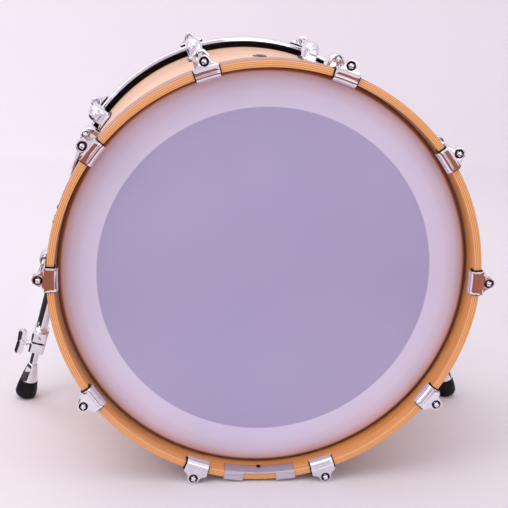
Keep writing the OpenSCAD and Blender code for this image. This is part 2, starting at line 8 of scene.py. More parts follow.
# %% Load the frame
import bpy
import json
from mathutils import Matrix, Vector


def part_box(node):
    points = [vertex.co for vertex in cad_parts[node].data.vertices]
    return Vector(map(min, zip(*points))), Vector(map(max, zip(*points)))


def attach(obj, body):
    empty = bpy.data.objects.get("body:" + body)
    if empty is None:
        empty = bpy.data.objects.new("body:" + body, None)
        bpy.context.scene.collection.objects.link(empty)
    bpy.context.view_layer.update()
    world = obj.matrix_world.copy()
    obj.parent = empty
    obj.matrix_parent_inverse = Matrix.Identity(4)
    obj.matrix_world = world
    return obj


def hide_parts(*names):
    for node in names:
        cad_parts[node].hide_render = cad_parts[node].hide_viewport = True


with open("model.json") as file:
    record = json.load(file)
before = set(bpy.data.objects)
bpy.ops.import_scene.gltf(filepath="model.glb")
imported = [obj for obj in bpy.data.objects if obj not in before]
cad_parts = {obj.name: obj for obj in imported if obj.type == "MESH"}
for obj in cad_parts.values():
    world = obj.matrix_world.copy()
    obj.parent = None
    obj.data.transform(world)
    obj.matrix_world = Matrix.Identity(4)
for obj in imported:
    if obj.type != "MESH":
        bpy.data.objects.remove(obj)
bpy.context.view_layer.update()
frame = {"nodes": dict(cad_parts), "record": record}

import json
import math
import bmesh
import bpy
from mathutils import Matrix, Vector

scene = bpy.context.scene
MM = 0.001

# %% [markdown]
# ## Camera
# The eye is about 1.5 m in front of the batter head, a little to its left and a little
# above the drum. A 74 mm lens keeps the round head nearly round, as a portrait lens does.

# %% Place the camera
lens = bpy.data.cameras.new("camera")
lens.lens = 74.27
lens.sensor_width = 36
camera = bpy.data.objects.new("camera", lens)
scene.collection.objects.link(camera)
ahead = Vector((0.10876, 0.95723, -0.26811)).normalized()
right = Vector((0.99402, -0.10204, 0.03894))
right = (right - ahead * right.dot(ahead)).normalized()
turn = Matrix((right, right.cross(ahead), -ahead)).transposed()
camera.matrix_world = Matrix.Translation((-0.1714, -1.5389, 0.7051)) @ turn.to_4x4()
scene.camera = camera
print("camera looks along", [round(c, 3) for c in ahead])

# %% [markdown]
# ## Floor, backdrop and light
# Chrome shows nothing but its surroundings, so the room matters as much as the metal.
# A pale floor that curves up into a wall all round is what a photographer calls an
# infinity cove. A ring of it keeps every view plain, and gives the chrome a white room
# with a soft edge between floor and wall.

# %% Functions for a colour, an object, a node and a material
def tone(code):
    """An sRGB hex colour as linear RGBA."""
    parts = [int(code[i:i + 2], 16) / 255 for i in (1, 3, 5)]
    return [c / 12.92 if c <= 0.04045 else ((c + 0.055) / 1.055) ** 2.4 for c in parts] + [1.0]


def put_in_scene(name, data):
    """A new object of data, linked to the scene."""
    made = bpy.data.objects.new(name, data)
    scene.collection.objects.link(made)
    return made


def add(tree, kind, settings={}, inputs={}, stops=()):
    """Adds a node with its settings, the values or links of its inputs, and a ramp's stops."""
    made = tree.nodes.new(kind)
    for key, value in settings.items():
        setattr(made, key, value)
    for key, value in inputs.items():
        if isinstance(value, bpy.types.NodeSocket):
            tree.links.new(value, made.inputs[key])
        else:
            made.inputs[key].default_value = value
    for k, (at, colour) in enumerate(stops):
        ramp = made.color_ramp.elements
        stop = ramp[k] if k < 2 else ramp.new(at)
        stop.position = at
        stop.color = tone(colour)
    return made


def finish(name, **constants):
    """A new material with its shader: constants go straight on the shader's sockets."""
    made = bpy.data.materials.new(name)
    made.use_nodes = True
    tree = made.node_tree
    tree.nodes.clear()
    shader = add(tree, "ShaderNodeBsdfPrincipled", {}, constants)
    add(tree, "ShaderNodeOutputMaterial", {}, {"Surface": shader.outputs[0]})
    return made, tree, shader


def plug(tree, source, shader, socket):
    tree.links.new(source, shader.inputs[socket])


# %% Cove and lights
cove_paint, tree, shader = finish("matt_emulsion_paint", Roughness=0.9)
paint_noise = add(tree, "ShaderNodeTexNoise", {}, {"Scale": 1.4, "Detail": 2.0})
paint = add(tree, "ShaderNodeValToRGB", {}, {0: paint_noise.outputs[0]}, [(0.3, "#E4DFE4"), (0.7, "#EAE5EA")])
plug(tree, paint.outputs[0], shader, "Base Color")

profile = [(0.0, 0.0), (2.6, 0.0)]
profile += [(2.6 + 1.6 * math.sin(a), 1.6 - 1.6 * math.cos(a)) for a in [math.radians(7.5 * k) for k in range(1, 13)]]
profile += [(4.2, 3.4)]
around = 96
points = [(0.0, 0.0, 0.0)]
for r, z in profile[1:]:
    points += [(r * math.cos(math.tau * k / around), r * math.sin(math.tau * k / around), z) for k in range(around)]
faces = [(0, 1 + k, 1 + (k + 1) % around) for k in range(around)]
for ring in range(len(profile) - 2):
    a, b = 1 + ring * around, 1 + (ring + 1) * around
    faces += [(a + k, b + k, b + (k + 1) % around, a + (k + 1) % around) for k in range(around)]
mesh = bpy.data.meshes.new("cove")
mesh.from_pydata(points, [], faces)
mesh.shade_smooth()
cove = put_in_scene("cove", mesh)
mesh.materials.append(cove_paint)

world = bpy.data.worlds.new("studio")
scene.world = world
world.use_nodes = True
sky = world.node_tree.nodes["Background"].inputs
sky["Color"].default_value = tone("#F6F3F8")
sky["Strength"].default_value = 1.02


def softbox(name, place, aim, size, watts, colour):
    """A rectangular area light at place that faces aim."""
    lamp = bpy.data.lights.new(name, "AREA")
    lamp.shape = "RECTANGLE"
    lamp.size, lamp.size_y = size
    lamp.energy = watts
    lamp.color = tone(colour)[:3]
    way = Vector(aim) - Vector(place)
    facing_aim = way.to_track_quat("-Z", "Y").to_matrix().to_4x4()
    put_in_scene(name, lamp).matrix_world = Matrix.Translation(place) @ facing_aim


softbox("top_softbox", (-0.5, -0.4, 2.6), (0, 0, 0.3), (2.4, 1.8), 15, "#FFFBFA")
softbox("left_softbox", (-2.2, -1.6, 1.9), (0, 0, 0.3), (1.4, 1.6), 20, "#FBFAFF")
softbox("wall_softbox", (-1.4, 1.3, 2.7), (-1.2, 3.6, 0.7), (1.6, 1.0), 22, "#FFFBFD")
softbox("front_softbox", (0.9, -2.9, 1.2), (0, 0, 0.2), (1.6, 1.2), 8, "#FFEFEA")


def card(name, corners, code_dark, code_light):
    """A sheet of card laid flat, as photographers do, that only reflections see."""
    paper, tree, shader = finish(name + "_paper", Roughness=0.9)
    noise = add(tree, "ShaderNodeTexNoise", {}, {"Scale": 3.0, "Detail": 2.0})
    colour = add(tree, "ShaderNodeValToRGB", {}, {0: noise.outputs[0]}, [(0.3, code_dark), (0.7, code_light)])
    plug(tree, colour.outputs[0], shader, "Base Color")
    sheet = bpy.data.meshes.new(name)
    sheet.from_pydata([(x, y, 0.004) for x, y in corners], [], [(0, 1, 2, 3)])
    sheet.materials.append(paper)
    made = put_in_scene(name, sheet)
    made.visible_camera = made.visible_diffuse = made.visible_shadow = False


card("left_card", [(-2.4, -0.5), (-0.40, -0.2), (-0.40, 2.2), (-2.4, 2.2)], "#0E0C0D", "#1A1617")
card("right_card", [(0.62, -0.6), (2.4, -0.6), (2.4, 2.2), (0.50, 2.2)], "#2A1A16", "#3A2620")
card("front_card", [(-2.2, -2.3), (2.2, -2.3), (2.2, -0.75), (-2.2, -0.75)], "#8A4A2C", "#A65C38")
scene.view_settings.view_transform = "Standard"
print("cove of", len(faces), "faces, four softboxes, three cards")

# %% [markdown]
# ## Sizes
# Every place comes from the CAD boxes and joints. A drum is measured from its axis outwards and from
# the hoop's front edge inwards, so those two are read once, and the rest are makers' sizes.

# %% Read the main sizes
low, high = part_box("batter_hoop")
HOOP_R = (high[0] - low[0]) / 2 / MM
HALF_LEN = -low[1] / MM
turning = {j["name"]: Vector(j["pos_m"]) / MM
           for j in frame["record"]["behaviour"]["joints"] if j["name"].endswith("turn")}
first, opposite = turning["batter_rod_01_turn"], turning["batter_rod_06_turn"]
AXIS_H = (first.z + opposite.z) / 2
ROD_R = (first - opposite).length / 2
low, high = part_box("shell")
SHELL_R = (high[0] - low[0]) / 2 / MM
SHELL_HALF = (high[1] - low[1]) / 2 / MM
HOOP_T = 9.8
HOOP_IN = HOOP_R - HOOP_T
HOOP_W = 40.0
OVERHANG = HALF_LEN - SHELL_HALF
LUG_INSET = 57.0
MOUTH = OVERHANG + LUG_INSET
PITCH = 36.0
FIRST_CLAW = PITCH / 2
WALL = 7.0
PEAK_DEPTH = 2.5
ROD_SHANK = 2.9
print(f"shell r {SHELL_R:.1f}, hoop r {HOOP_R:.1f}, axis {AXIS_H:.2f}, half length {HALF_LEN:.1f} mm")

# %% [markdown]
# ## Coordinates that follow the drum
# Wood grain and ply lines follow the bend of the shell, so a pattern needs the distance
# round the drum, along it and out from its axis. A few maths nodes turn the object's own
# coordinates into those three, in millimetres. The join is at the bottom, where a real
# shell's veneers meet too.

# %% Drum coordinates for materials
def round_drum(tree):
    """Sockets for millimetres round the drum, along it, and out from its axis."""
    spot = add(tree, "ShaderNodeTexCoord").outputs["Object"]
    size = add(tree, "ShaderNodeVectorMath", {"operation": "MULTIPLY_ADD"},
               {0: spot, 1: (1000, 1000, 1000), 2: (0, 0, -AXIS_H)})
    part = add(tree, "ShaderNodeSeparateXYZ", {}, {0: size.outputs[0]}).outputs
    angle = add(tree, "ShaderNodeMath", {"operation": "ARCTAN2"}, {0: part[0], 1: part[2]})
    round_mm = add(tree, "ShaderNodeMath", {"operation": "MULTIPLY"}, {0: angle.outputs[0], 1: SHELL_R})
    flat = add(tree, "ShaderNodeCombineXYZ", {}, {0: part[0], 2: part[2]})
    out = add(tree, "ShaderNodeVectorMath", {"operation": "LENGTH"}, {0: flat.outputs[0]})
    return round_mm.outputs[0], part[1], out.outputs["Value"]


def grain(tree, stretch, detail=4.0):
    """Noise drawn out along the bend: stretch is how often it changes per mm, each way."""
    ways = round_drum(tree)
    spot = add(tree, "ShaderNodeCombineXYZ", {}, {0: ways[0], 1: ways[1], 2: ways[2]})
    drawn = add(tree, "ShaderNodeVectorMath", {"operation": "MULTIPLY"}, {0: spot.outputs[0], 1: stretch})
    noise = add(tree, "ShaderNodeTexNoise", {}, {"Vector": drawn.outputs[0], "Scale": 1.0, "Detail": detail,
                                                "Roughness": 0.6})
    return noise.outputs[0], ways


print("drum coordinates ready")

# %% [markdown]
# ## Lacquered maple shell
# The shell is bent from maple veneers about 1 mm thick, under clear gloss lacquer. The
# grain runs round the drum in streaks 2 to 6 mm wide and 100 mm and more long. Figure, the
# faint bands across the grain, comes every 15 mm or so. Lacquer is a coat with an IOR of 1.5.

# %% Maple finish
maple, tree, shader = finish("lacquered_maple_veneer", Roughness=0.5, **{
    "Coat Weight": 0.25, "Coat Roughness": 0.2, "IOR": 1.5})
streaks, ways = grain(tree, (0.006, 0.22, 0.22))
wood = add(tree, "ShaderNodeValToRGB", {}, {0: streaks},
           [(0.30, "#E2AF8E"), (0.68, "#F7D6BA"), (0.48, "#EEC4A4")])
figure = add(tree, "ShaderNodeTexNoise", {"noise_dimensions": "2D"}, {
    "Vector": add(tree, "ShaderNodeCombineXYZ", {}, {
        0: add(tree, "ShaderNodeMath", {"operation": "MULTIPLY"}, {0: ways[0], 1: 0.065}).outputs[0],
        1: add(tree, "ShaderNodeMath", {"operation": "MULTIPLY"}, {0: ways[1], 1: 0.012}).outputs[0]}).outputs[0],
    "Scale": 1.0, "Detail": 2.0})
banded = add(tree, "ShaderNodeMix", {"data_type": "RGBA", "blend_type": "SOFT_LIGHT"}, {
    0: 0.35, 6: wood.outputs[0],
    7: add(tree, "ShaderNodeValToRGB", {}, {0: figure.outputs[0]}, [(0.3, "#6E6E6E"), (0.7, "#969696")]).outputs[0]})
plug(tree, banded.outputs[2], shader, "Base Color")
pores = add(tree, "ShaderNodeBump", {}, {"Strength": 0.05, "Distance": 0.0002, "Height": streaks})
plug(tree, pores.outputs[0], shader, "Normal")
print("maple:", len(tree.nodes), "nodes")

# %% [markdown]
# ## Honey-stained ply hoop
# A wooden hoop is a stack of eight bent plies, stained honey and lacquered. Its faces show
# long grain. Its front and back edges show the plies as fine rings, light and dark by
# turns with a thin line of glue between, which only the distance from the axis can draw.
# The outer face is tinted a greyer brown.

# %% Hoop finish
honey, tree, shader = finish("honey_stained_maple_ply", Roughness=0.4, **{
    "Coat Weight": 0.5, "Coat Roughness": 0.15, "IOR": 1.5})
streaks, ways = grain(tree, (0.008, 0.35, 0.35))
face = add(tree, "ShaderNodeValToRGB", {}, {0: streaks},
           [(0.28, "#CF8446"), (0.70, "#EDAE6E"), (0.5, "#E2984F")])
PLY = HOOP_T / 8
from_inside = add(tree, "ShaderNodeMath", {"operation": "SUBTRACT"}, {0: ways[2], 1: HOOP_IN})
wander = add(tree, "ShaderNodeMath", {"operation": "MULTIPLY_ADD"}, {0: streaks, 1: 0.5, 2: from_inside.outputs[0]})
layer = add(tree, "ShaderNodeMath", {"operation": "PINGPONG"}, {0: wander.outputs[0], 1: PLY})
edge = add(tree, "ShaderNodeValToRGB", {}, {
    0: add(tree, "ShaderNodeMath", {"operation": "DIVIDE"}, {0: layer.outputs[0], 1: PLY}).outputs[0]},
    [(0.0, "#B97435"), (1.0, "#F3BC80"), (0.30, "#DE9450"), (0.62, "#EBA862")])
facing = add(tree, "ShaderNodeSeparateXYZ", {}, {0: add(tree, "ShaderNodeTexCoord").outputs["Normal"]})
on_edge = add(tree, "ShaderNodeMath", {"operation": "ABSOLUTE"}, {0: facing.outputs[1]})
edge_only = add(tree, "ShaderNodeMapRange", {}, {0: on_edge.outputs[0], 1: 0.45, 2: 0.75})
both = add(tree, "ShaderNodeMix", {"data_type": "RGBA"}, {
    0: edge_only.outputs[0], 6: face.outputs[0], 7: edge.outputs[0]})
outside = add(tree, "ShaderNodeMapRange", {}, {0: from_inside.outputs[0], 1: HOOP_T - 0.9, 2: HOOP_T - 0.3})
greyed_outer_face = add(tree, "ShaderNodeMix", {"data_type": "RGBA", "blend_type": "MULTIPLY"}, {
    0: outside.outputs[0], 6: both.outputs[2], 7: tone("#BCA8A0")})
plug(tree, greyed_outer_face.outputs[2], shader, "Base Color")
pores = add(tree, "ShaderNodeBump", {}, {"Strength": 0.08, "Distance": 0.0002, "Height": streaks})
plug(tree, pores.outputs[0], shader, "Normal")
print("honey ply:", len(tree.nodes), "nodes, ply", PLY, "mm")

# %% [markdown]
# ## Metals
# Claws, lugs and legs are zinc or steel castings, polished and plated with chrome. Chrome
# is a cool, bright mirror with a very slight waviness from polishing, a few millimetres
# across. Screws are duller bright zinc, and the pedal plate is nickel, brushed lengthwise.

# %% Chrome, zinc, nickel, chrome darkened as a painted dark reflection, aluminium and black steel
def metal(name, light, dark, roughness, spread, wave_mm, wave, stretch=(1, 1, 1)):
    """A metal whose colour, gloss and waviness vary gently: wave_mm is the waves' size."""
    made, tree, shader = finish(name, Metallic=1.0)
    spot = add(tree, "ShaderNodeTexCoord").outputs["Object"]
    drawn = add(tree, "ShaderNodeVectorMath", {"operation": "MULTIPLY"}, {0: spot, 1: stretch})
    noise = add(tree, "ShaderNodeTexNoise", {}, {"Vector": drawn.outputs[0], "Scale": 1000 / wave_mm, "Detail": 2.0})
    colour = add(tree, "ShaderNodeValToRGB", {}, {0: noise.outputs[0]}, [(0.35, dark), (0.65, light)])
    plug(tree, colour.outputs[0], shader, "Base Color")
    gloss = add(tree, "ShaderNodeMapRange", {}, {
        0: noise.outputs[0], 1: 0.3, 2: 0.7, 3: roughness - spread, 4: roughness + spread})
    plug(tree, gloss.outputs[0], shader, "Roughness")
    ripple = add(tree, "ShaderNodeBump", {}, {"Strength": wave, "Distance": 0.0001, "Height": noise.outputs[0]})
    plug(tree, ripple.outputs[0], shader, "Normal")
    return made


chrome = metal("polished_chrome_plate", "#EFEEF4", "#E6E5EC", 0.06, 0.02, 6, 0.05)
zinc = metal("bright_zinc_plated_steel", "#D2D2D6", "#B4B4BA", 0.28, 0.06, 2, 0.1)
nickel = metal("brushed_nickel_sheet", "#DAD8E0", "#C6C3CE", 0.34, 0.05, 2, 0.12, (0.08, 1, 1))
aluminium = metal("rolled_aluminium_channel", "#C9C8CE", "#B0AFB6", 0.34, 0.05, 3, 0.06)
# Darker chrome for the vent eyelet: its dark colour is a painted dark reflection on a chrome eyelet.
dark_reflection_chrome = metal("black_nickel_plate", "#77757B", "#4A484E", 0.12, 0.03, 4, 0.05)
black_steel = metal("black_enamelled_steel", "#1A191D", "#0E0D10", 0.22, 0.04, 3, 0.05)
print("six metals")

# %% [markdown]
# ## Head film
# A drum head is polyester film 0.25 mm thick, sprayed so that it looks milky. Behind the
# batter head a 45 mm ring of thinner film is bonded on to damp it, and where it lies the
# head looks paler. The film is smooth, so it has a soft sheen. Near the hoop its colour
# is painted warmer and darker: a painted warm bounce from the wooden hoop and painted
# shade in the hoop's recess.

# %% Film finishes
RING_IN = SHELL_R - 4.5 - 45.0


def film(name, ringed):
    """Milky film, paler over the damping ring where there is one, with a painted warm bounce and painted shade near the
    hoop.
    """
    made, tree, shader = finish(name, Roughness=0.3, **{"IOR": 1.57})
    ways = round_drum(tree)
    cloud = add(tree, "ShaderNodeTexNoise", {}, {"Vector": add(tree, "ShaderNodeTexCoord").outputs["Object"],
                                               "Scale": 5.0, "Detail": 2.0})
    inner = add(tree, "ShaderNodeValToRGB", {}, {0: cloud.outputs[0]}, [(0.3, "#A6A0C3"), (0.7, "#ACA5C7")])
    step = add(tree, "ShaderNodeMapRange", {}, {0: ways[2], 1: RING_IN - 0.8, 2: RING_IN + 0.8})
    outer = add(tree, "ShaderNodeValToRGB", {}, {0: cloud.outputs[0]}, [(0.3, "#D3CCE3"), (0.7, "#D8D1E7")])
    split = add(tree, "ShaderNodeMix", {"data_type": "RGBA"}, {
        0: step.outputs[0] if ringed else 0.0, 6: inner.outputs[0], 7: outer.outputs[0]})
    # Painted light: towards the hoop the film is multiplied warmer and darker, a painted warm bounce from the wooden
    # hoop and painted shade in the hoop's recess.
    painted_hoop_bounce_and_shade = add(tree, "ShaderNodeValToRGB", {}, {
        0: add(tree, "ShaderNodeMapRange", {}, {0: ways[2], 1: 250.0, 2: 282.0}).outputs[0]},
        [(0.0, "#FFFFFF"), (1.0, "#A8714A"), (0.45, "#FBEFEC"), (0.74, "#EFCDBB"), (0.84, "#C08A62")])
    film_with_painted_edge = add(tree, "ShaderNodeMix", {"data_type": "RGBA", "blend_type": "MULTIPLY"}, {
        0: 1.0, 6: split.outputs[2], 7: painted_hoop_bounce_and_shade.outputs[0]})
    plug(tree, film_with_painted_edge.outputs[2], shader, "Base Color")
    spray = add(tree, "ShaderNodeTexNoise", {}, {"Vector": add(tree, "ShaderNodeTexCoord").outputs["Object"],
                                               "Scale": 900.0, "Detail": 1.0})
    bump = add(tree, "ShaderNodeBump", {}, {"Strength": 0.04, "Distance": 0.0001, "Height": spray.outputs[0]})
    plug(tree, bump.outputs[0], shader, "Normal")
    return made


batter_film = film("sprayed_polyester_film", True)
plain_film = film("plain_polyester_film", False)
print("damping ring starts at r", RING_IN, "mm")

# %% [markdown]
# ## Rubber and nylon
# Pads, gaskets and feet are black moulded rubber: nearly black, dull, with a fine uneven
# skin. The washers under the rod heads are nylon, which is smoother.

# %% Rubber and nylon finishes
def moulded(name, light, dark, roughness, skin_mm, depth):
    """A moulded black: slightly cloudy colour and a fine skin."""
    made, tree, shader = finish(name, Roughness=roughness, **{"Specular IOR Level": 0.22})
    spot = add(tree, "ShaderNodeTexCoord").outputs["Object"]
    noise = add(tree, "ShaderNodeTexNoise", {}, {"Vector": spot, "Scale": 1000 / skin_mm, "Detail": 3.0})
    colour = add(tree, "ShaderNodeValToRGB", {}, {0: noise.outputs[0]}, [(0.35, dark), (0.65, light)])
    plug(tree, colour.outputs[0], shader, "Base Color")
    bump = add(tree, "ShaderNodeBump", {}, {"Strength": depth, "Distance": 0.0001, "Height": noise.outputs[0]})
    plug(tree, bump.outputs[0], shader, "Normal")
    return made


rubber = moulded("moulded_black_rubber", "#0E0C0F", "#070608", 0.5, 1.5, 0.3)
nylon = moulded("moulded_black_nylon", "#0D0C0E", "#060506", 0.45, 2.5, 0.1)
print("two moulded blacks")

# %% [markdown]
# ## Shapes in millimetres
# Pieces are drawn in millimetres where a maker would draw them: a claw or a lug standing
# on the drum's axis, a leg hanging from its pivot. Three small functions cover most of
# them: rings of points joined side by side, an outline pushed through its depth, and an
# outline turned on an axis.

# %% Shape helpers
def joined(*shapes):
    """Several shapes as one list of points and faces."""
    points, faces = [], []
    for more, polygons in shapes:
        faces += [[i + len(points) for i in polygon] for polygon in polygons]
        points += list(more)
    return points, faces


def lofted(rings):
    """Rings of as many points each, joined side by side and closed at both ends."""
    n = len(rings[0])
    faces = [list(range(n)), [(len(rings) - 1) * n + i for i in range(n)]]
    for k in range(len(rings) - 1):
        faces += [[k * n + i, k * n + (i + 1) % n, (k + 1) * n + (i + 1) % n, (k + 1) * n + i] for i in range(n)]
    return [point for ring in rings for point in ring], faces


def pushed(outline, depths, put):
    """A closed outline pushed through depths: put(u, v, t) gives each point."""
    points, faces = lofted([[put(u, v, t) for u, v in outline] for t in depths])
    faces[0].reverse()
    return points, faces


def turned(outline, put, n=48, closed=True):
    """An outline of (radius, height) turned once round: put(x, y, height) gives each point."""
    rings, points, faces = [], [], []
    for r, h in outline:
        count = n if r > 1e-6 else 1
        rings.append((len(points), count))
        points += [put(r * math.cos(math.tau * k / n), r * math.sin(math.tau * k / n), h) for k in range(count)]
    spans = list(zip(rings, rings[1:] + rings[:1])) if closed else list(zip(rings, rings[1:]))
    for (a, na), (b, nb) in spans:
        for k in range(n):
            j = (k + 1) % n
            ring = [a + k % na, b + k % nb, b + j % nb, a + j % na]
            face = [i for pos, i in enumerate(ring) if i not in ring[:pos]]
            if len(face) > 2:
                faces.append(face)
    return points, faces


def arc(u, v, r, start, end, n=8):
    """Points on an arc, in degrees."""
    turns = [math.radians(start + (end - start) * k / n) for k in range(n + 1)]
    return [(u + r * math.cos(a), v + r * math.sin(a)) for a in turns]


def rounded(x, low_y, high_y, r):
    """A rectangle with round corners of radius r, centred at x either side, low_y and high_y."""
    return [spot for cx, cy, a in ((x, high_y, 0), (-x, high_y, 90), (-x, low_y, 180), (x, low_y, 270))
            for spot in arc(cx, cy, r, a, a + 90, 6)]


def welded(mesh, dist, outwards=True):
    """Merges points closer than dist metres, and turns the faces outwards."""
    work = bmesh.new()
    work.from_mesh(mesh)
    bmesh.ops.remove_doubles(work, verts=work.verts, dist=dist)
    if outwards:
        bmesh.ops.recalc_face_normals(work, faces=work.faces)
    work.to_mesh(mesh)
    work.free()


def solid(name, shape, matrix=Matrix(), smooth=35):
    """A mesh object in metres from a shape in millimetres, faces outwards, edges over smooth kept."""
    mesh = bpy.data.meshes.new(name)
    mesh.from_pydata([matrix @ (Vector(p)) * MM for p in shape[0]], [], shape[1])
    welded(mesh, 0.001 * MM)
    mesh.set_sharp_from_angle(angle=math.radians(smooth))
    return put_in_scene(name, mesh)


def baked(obj):
    """Applies every modifier on obj and keeps the plain mesh."""
    view = bpy.context.evaluated_depsgraph_get()
    mesh = bpy.data.meshes.new_from_object(obj.evaluated_get(view))
    obj.modifiers.clear()
    obj.data = mesh
    return obj


print("shape helpers ready")


# %% Castings: carved exactly, or softened in voxels
def softened(made, voxel, rounds, keep):
    """Fuses a closed mesh in voxels of so many mm, softens it, and keeps a share of its faces."""
    made.modifiers.new("fuse", "REMESH").voxel_size = voxel * MM
    ease = made.modifiers.new("ease", "SMOOTH")
    ease.factor, ease.iterations = 0.5, rounds
    made.modifiers.new("thin", "DECIMATE").ratio = keep
    baked(made)
    made.data.shade_smooth()
    return made


def carved(name, parts, cuts, edge=0.3):
    """Joins closed shapes exactly, cuts them, and rounds the sharp edges a little."""
    made, *others = [solid(f"{name}_{k}", shape) for k, shape in enumerate(list(parts) + list(cuts))]
    made.name = name
    for k, tool in enumerate(others):
        step = made.modifiers.new("step", "BOOLEAN")
        step.operation = "UNION" if k < len(parts) - 1 else "DIFFERENCE"
        step.solver, step.object = "MANIFOLD", tool
    soft = made.modifiers.new("soft_edges", "BEVEL")
    soft.width, soft.segments = edge * MM, 2
    soft.limit_method, soft.angle_limit = "ANGLE", math.radians(40)
    baked(made)
    for tool in others:
        bpy.data.objects.remove(tool)
    made.data.shade_smooth()
    made.data.set_sharp_from_angle(angle=math.radians(24))
    return made


def place(obj, body, material, slot, *nodes):
    """Gives a finished piece its material and body, and hides the CAD nodes it stands for. The slot argument is not
    used.
    """
    obj.data.materials.clear()
    obj.data.materials.append(material)
    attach(obj, body)
    if nodes:
        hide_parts(*nodes)
    return obj


print("casting helper ready")

# %% [markdown]
# ## Two Geometry Nodes trees
# Claws, pads, lugs and rods all repeat every 36 degrees at both ends, so one tree puts a
# single piece round the drum. It works on the piece's own geometry. A second tree sweeps
# a rounded rectangle round a circle, which is exactly what a bent ply hoop is.

# %% Tree: round the drum
def new_tree(name, inputs):
    """An empty Geometry Nodes tree with named inputs; gives the tree, its input and output nodes."""
    tree = bpy.data.node_groups.new(name, "GeometryNodeTree")
    tree.interface.new_socket("Geometry", in_out="INPUT", socket_type="NodeSocketGeometry")
    for label, kind in inputs:
        tree.interface.new_socket(label, in_out="INPUT", socket_type="NodeSocket" + kind)
    tree.interface.new_socket("Geometry", in_out="OUTPUT", socket_type="NodeSocketGeometry")
    return tree, add(tree, "NodeGroupInput"), add(tree, "NodeGroupOutput")


def grown(obj, tree, **values):
    """Runs a tree on obj with its inputs set by identifier, and keeps the plain mesh."""
    modifier = obj.modifiers.new(tree.name, "NODES")
    modifier.node_group = tree
    for item in tree.interface.items_tree:
        key = item.name.replace(" ", "_").lower()
        if item.in_out == "INPUT" and key in values:
            modifier[item.identifier] = values[key]
    return baked(obj)


circle_tree, source, result = new_tree("round_the_drum", [
    ("Count", "Int"), ("Step", "Float"), ("First", "Float"), ("Axis height", "Float"),
    ("End distance", "Float"), ("Half turn", "Float"), ("Finish", "Material")])
spots = add(circle_tree, "GeometryNodePoints", {}, {"Count": source.outputs["Count"]})
number = add(circle_tree, "GeometryNodeInputIndex")
lean = add(circle_tree, "ShaderNodeMath", {"operation": "MULTIPLY_ADD"}, {
    0: number.outputs[0], 1: source.outputs["Step"], 2: source.outputs["First"]})
tilt = add(circle_tree, "ShaderNodeCombineXYZ", {}, {1: lean.outputs[0]})
copies = add(circle_tree, "GeometryNodeInstanceOnPoints", {}, {
    "Points": spots.outputs[0], "Instance": source.outputs["Geometry"], "Rotation": tilt.outputs[0]})
back = add(circle_tree, "ShaderNodeMath", {"operation": "MULTIPLY"}, {0: source.outputs["End distance"], 1: -1.0})
at_end = add(circle_tree, "ShaderNodeCombineXYZ", {}, {1: back.outputs[0], 2: source.outputs["Axis height"]})
moved = add(circle_tree, "GeometryNodeTransform", {}, {"Geometry": copies.outputs[0], "Translation": at_end.outputs[0]})
half = add(circle_tree, "ShaderNodeCombineXYZ", {}, {2: source.outputs["Half turn"]})
other_end = add(circle_tree, "GeometryNodeTransform", {}, {"Geometry": moved.outputs[0], "Rotation": half.outputs[0]})
real = add(circle_tree, "GeometryNodeRealizeInstances", {}, {0: other_end.outputs[0]})
painted = add(circle_tree, "GeometryNodeSetMaterial", {}, {
    "Geometry": real.outputs[0], "Material": source.outputs["Finish"]})
circle_tree.links.new(painted.outputs[0], result.inputs[0])


def round_end(piece, name, front, material, count=10, first=FIRST_CLAW):
    """A copy of one piece, put round one end of the drum."""
    made = put_in_scene(name, piece.data.copy())
    return grown(made, circle_tree, count=count, step=math.radians(PITCH), first=math.radians(first),
                 axis_height=AXIS_H * MM, end_distance=HALF_LEN * MM, half_turn=math.pi if front else 0.0,
                 finish=material)


print("tree round_the_drum:", len(circle_tree.nodes), "nodes")

# %% Tree: bent ply hoop
hoop_tree, source, result = new_tree("bent_ply_hoop", [
    ("Middle radius", "Float"), ("Thickness", "Float"), ("Width", "Float"), ("Corner", "Float"),
    ("Finish", "Material")])
path = add(hoop_tree, "GeometryNodeCurvePrimitiveCircle", {}, {
    "Resolution": 360, "Radius": source.outputs["Middle radius"]})
section = add(hoop_tree, "GeometryNodeCurvePrimitiveQuadrilateral", {}, {
    "Width": source.outputs["Thickness"], "Height": source.outputs["Width"]})
eased = add(hoop_tree, "GeometryNodeFilletCurve", {"mode": "POLY"}, {
    "Curve": section.outputs[0], "Radius": source.outputs["Corner"], "Count": 5, "Limit Radius": True})
swept = add(hoop_tree, "GeometryNodeCurveToMesh", {}, {"Curve": path.outputs[0], "Profile Curve": eased.outputs[0]})
real = add(hoop_tree, "GeometryNodeRealizeInstances", {}, {0: swept.outputs[0]})
painted = add(hoop_tree, "GeometryNodeSetMaterial", {}, {
    "Geometry": real.outputs[0], "Material": source.outputs["Finish"]})
hoop_tree.links.new(painted.outputs[0], result.inputs[0])

batter_hoop = put_in_scene("batter_hoop_ply", bpy.data.meshes.new("batter_hoop_ply"))
grown(batter_hoop, hoop_tree, middle_radius=(HOOP_IN + HOOP_T / 2) * MM, thickness=HOOP_T * MM,
      width=HOOP_W * MM, corner=1.8 * MM, finish=honey)
stand = Matrix.Translation((0, (HOOP_W / 2 - HALF_LEN) * MM, AXIS_H * MM)) @ Matrix.Rotation(math.pi / 2, 4, "X")
batter_hoop.data.transform(stand)
welded(batter_hoop.data, 1e-6)
batter_hoop.data.shade_smooth()
batter_hoop.data.set_sharp_from_angle(angle=math.radians(40))
place(batter_hoop, "root", honey, "hoop_maple", "batter_hoop")
print("batter hoop box", [round(c, 4) for c in batter_hoop.dimensions], len(batter_hoop.data.polygons), "faces")

# %% [markdown]
# ## Shell, heads and rings
# These are bodies of revolution, cut on a lathe or pressed in a ring die, so an outline of
# radius and depth is turned round the drum's axis. The shell's ends are cut to 45 degree
# bearing edges, and the air vent's hole goes right through it.

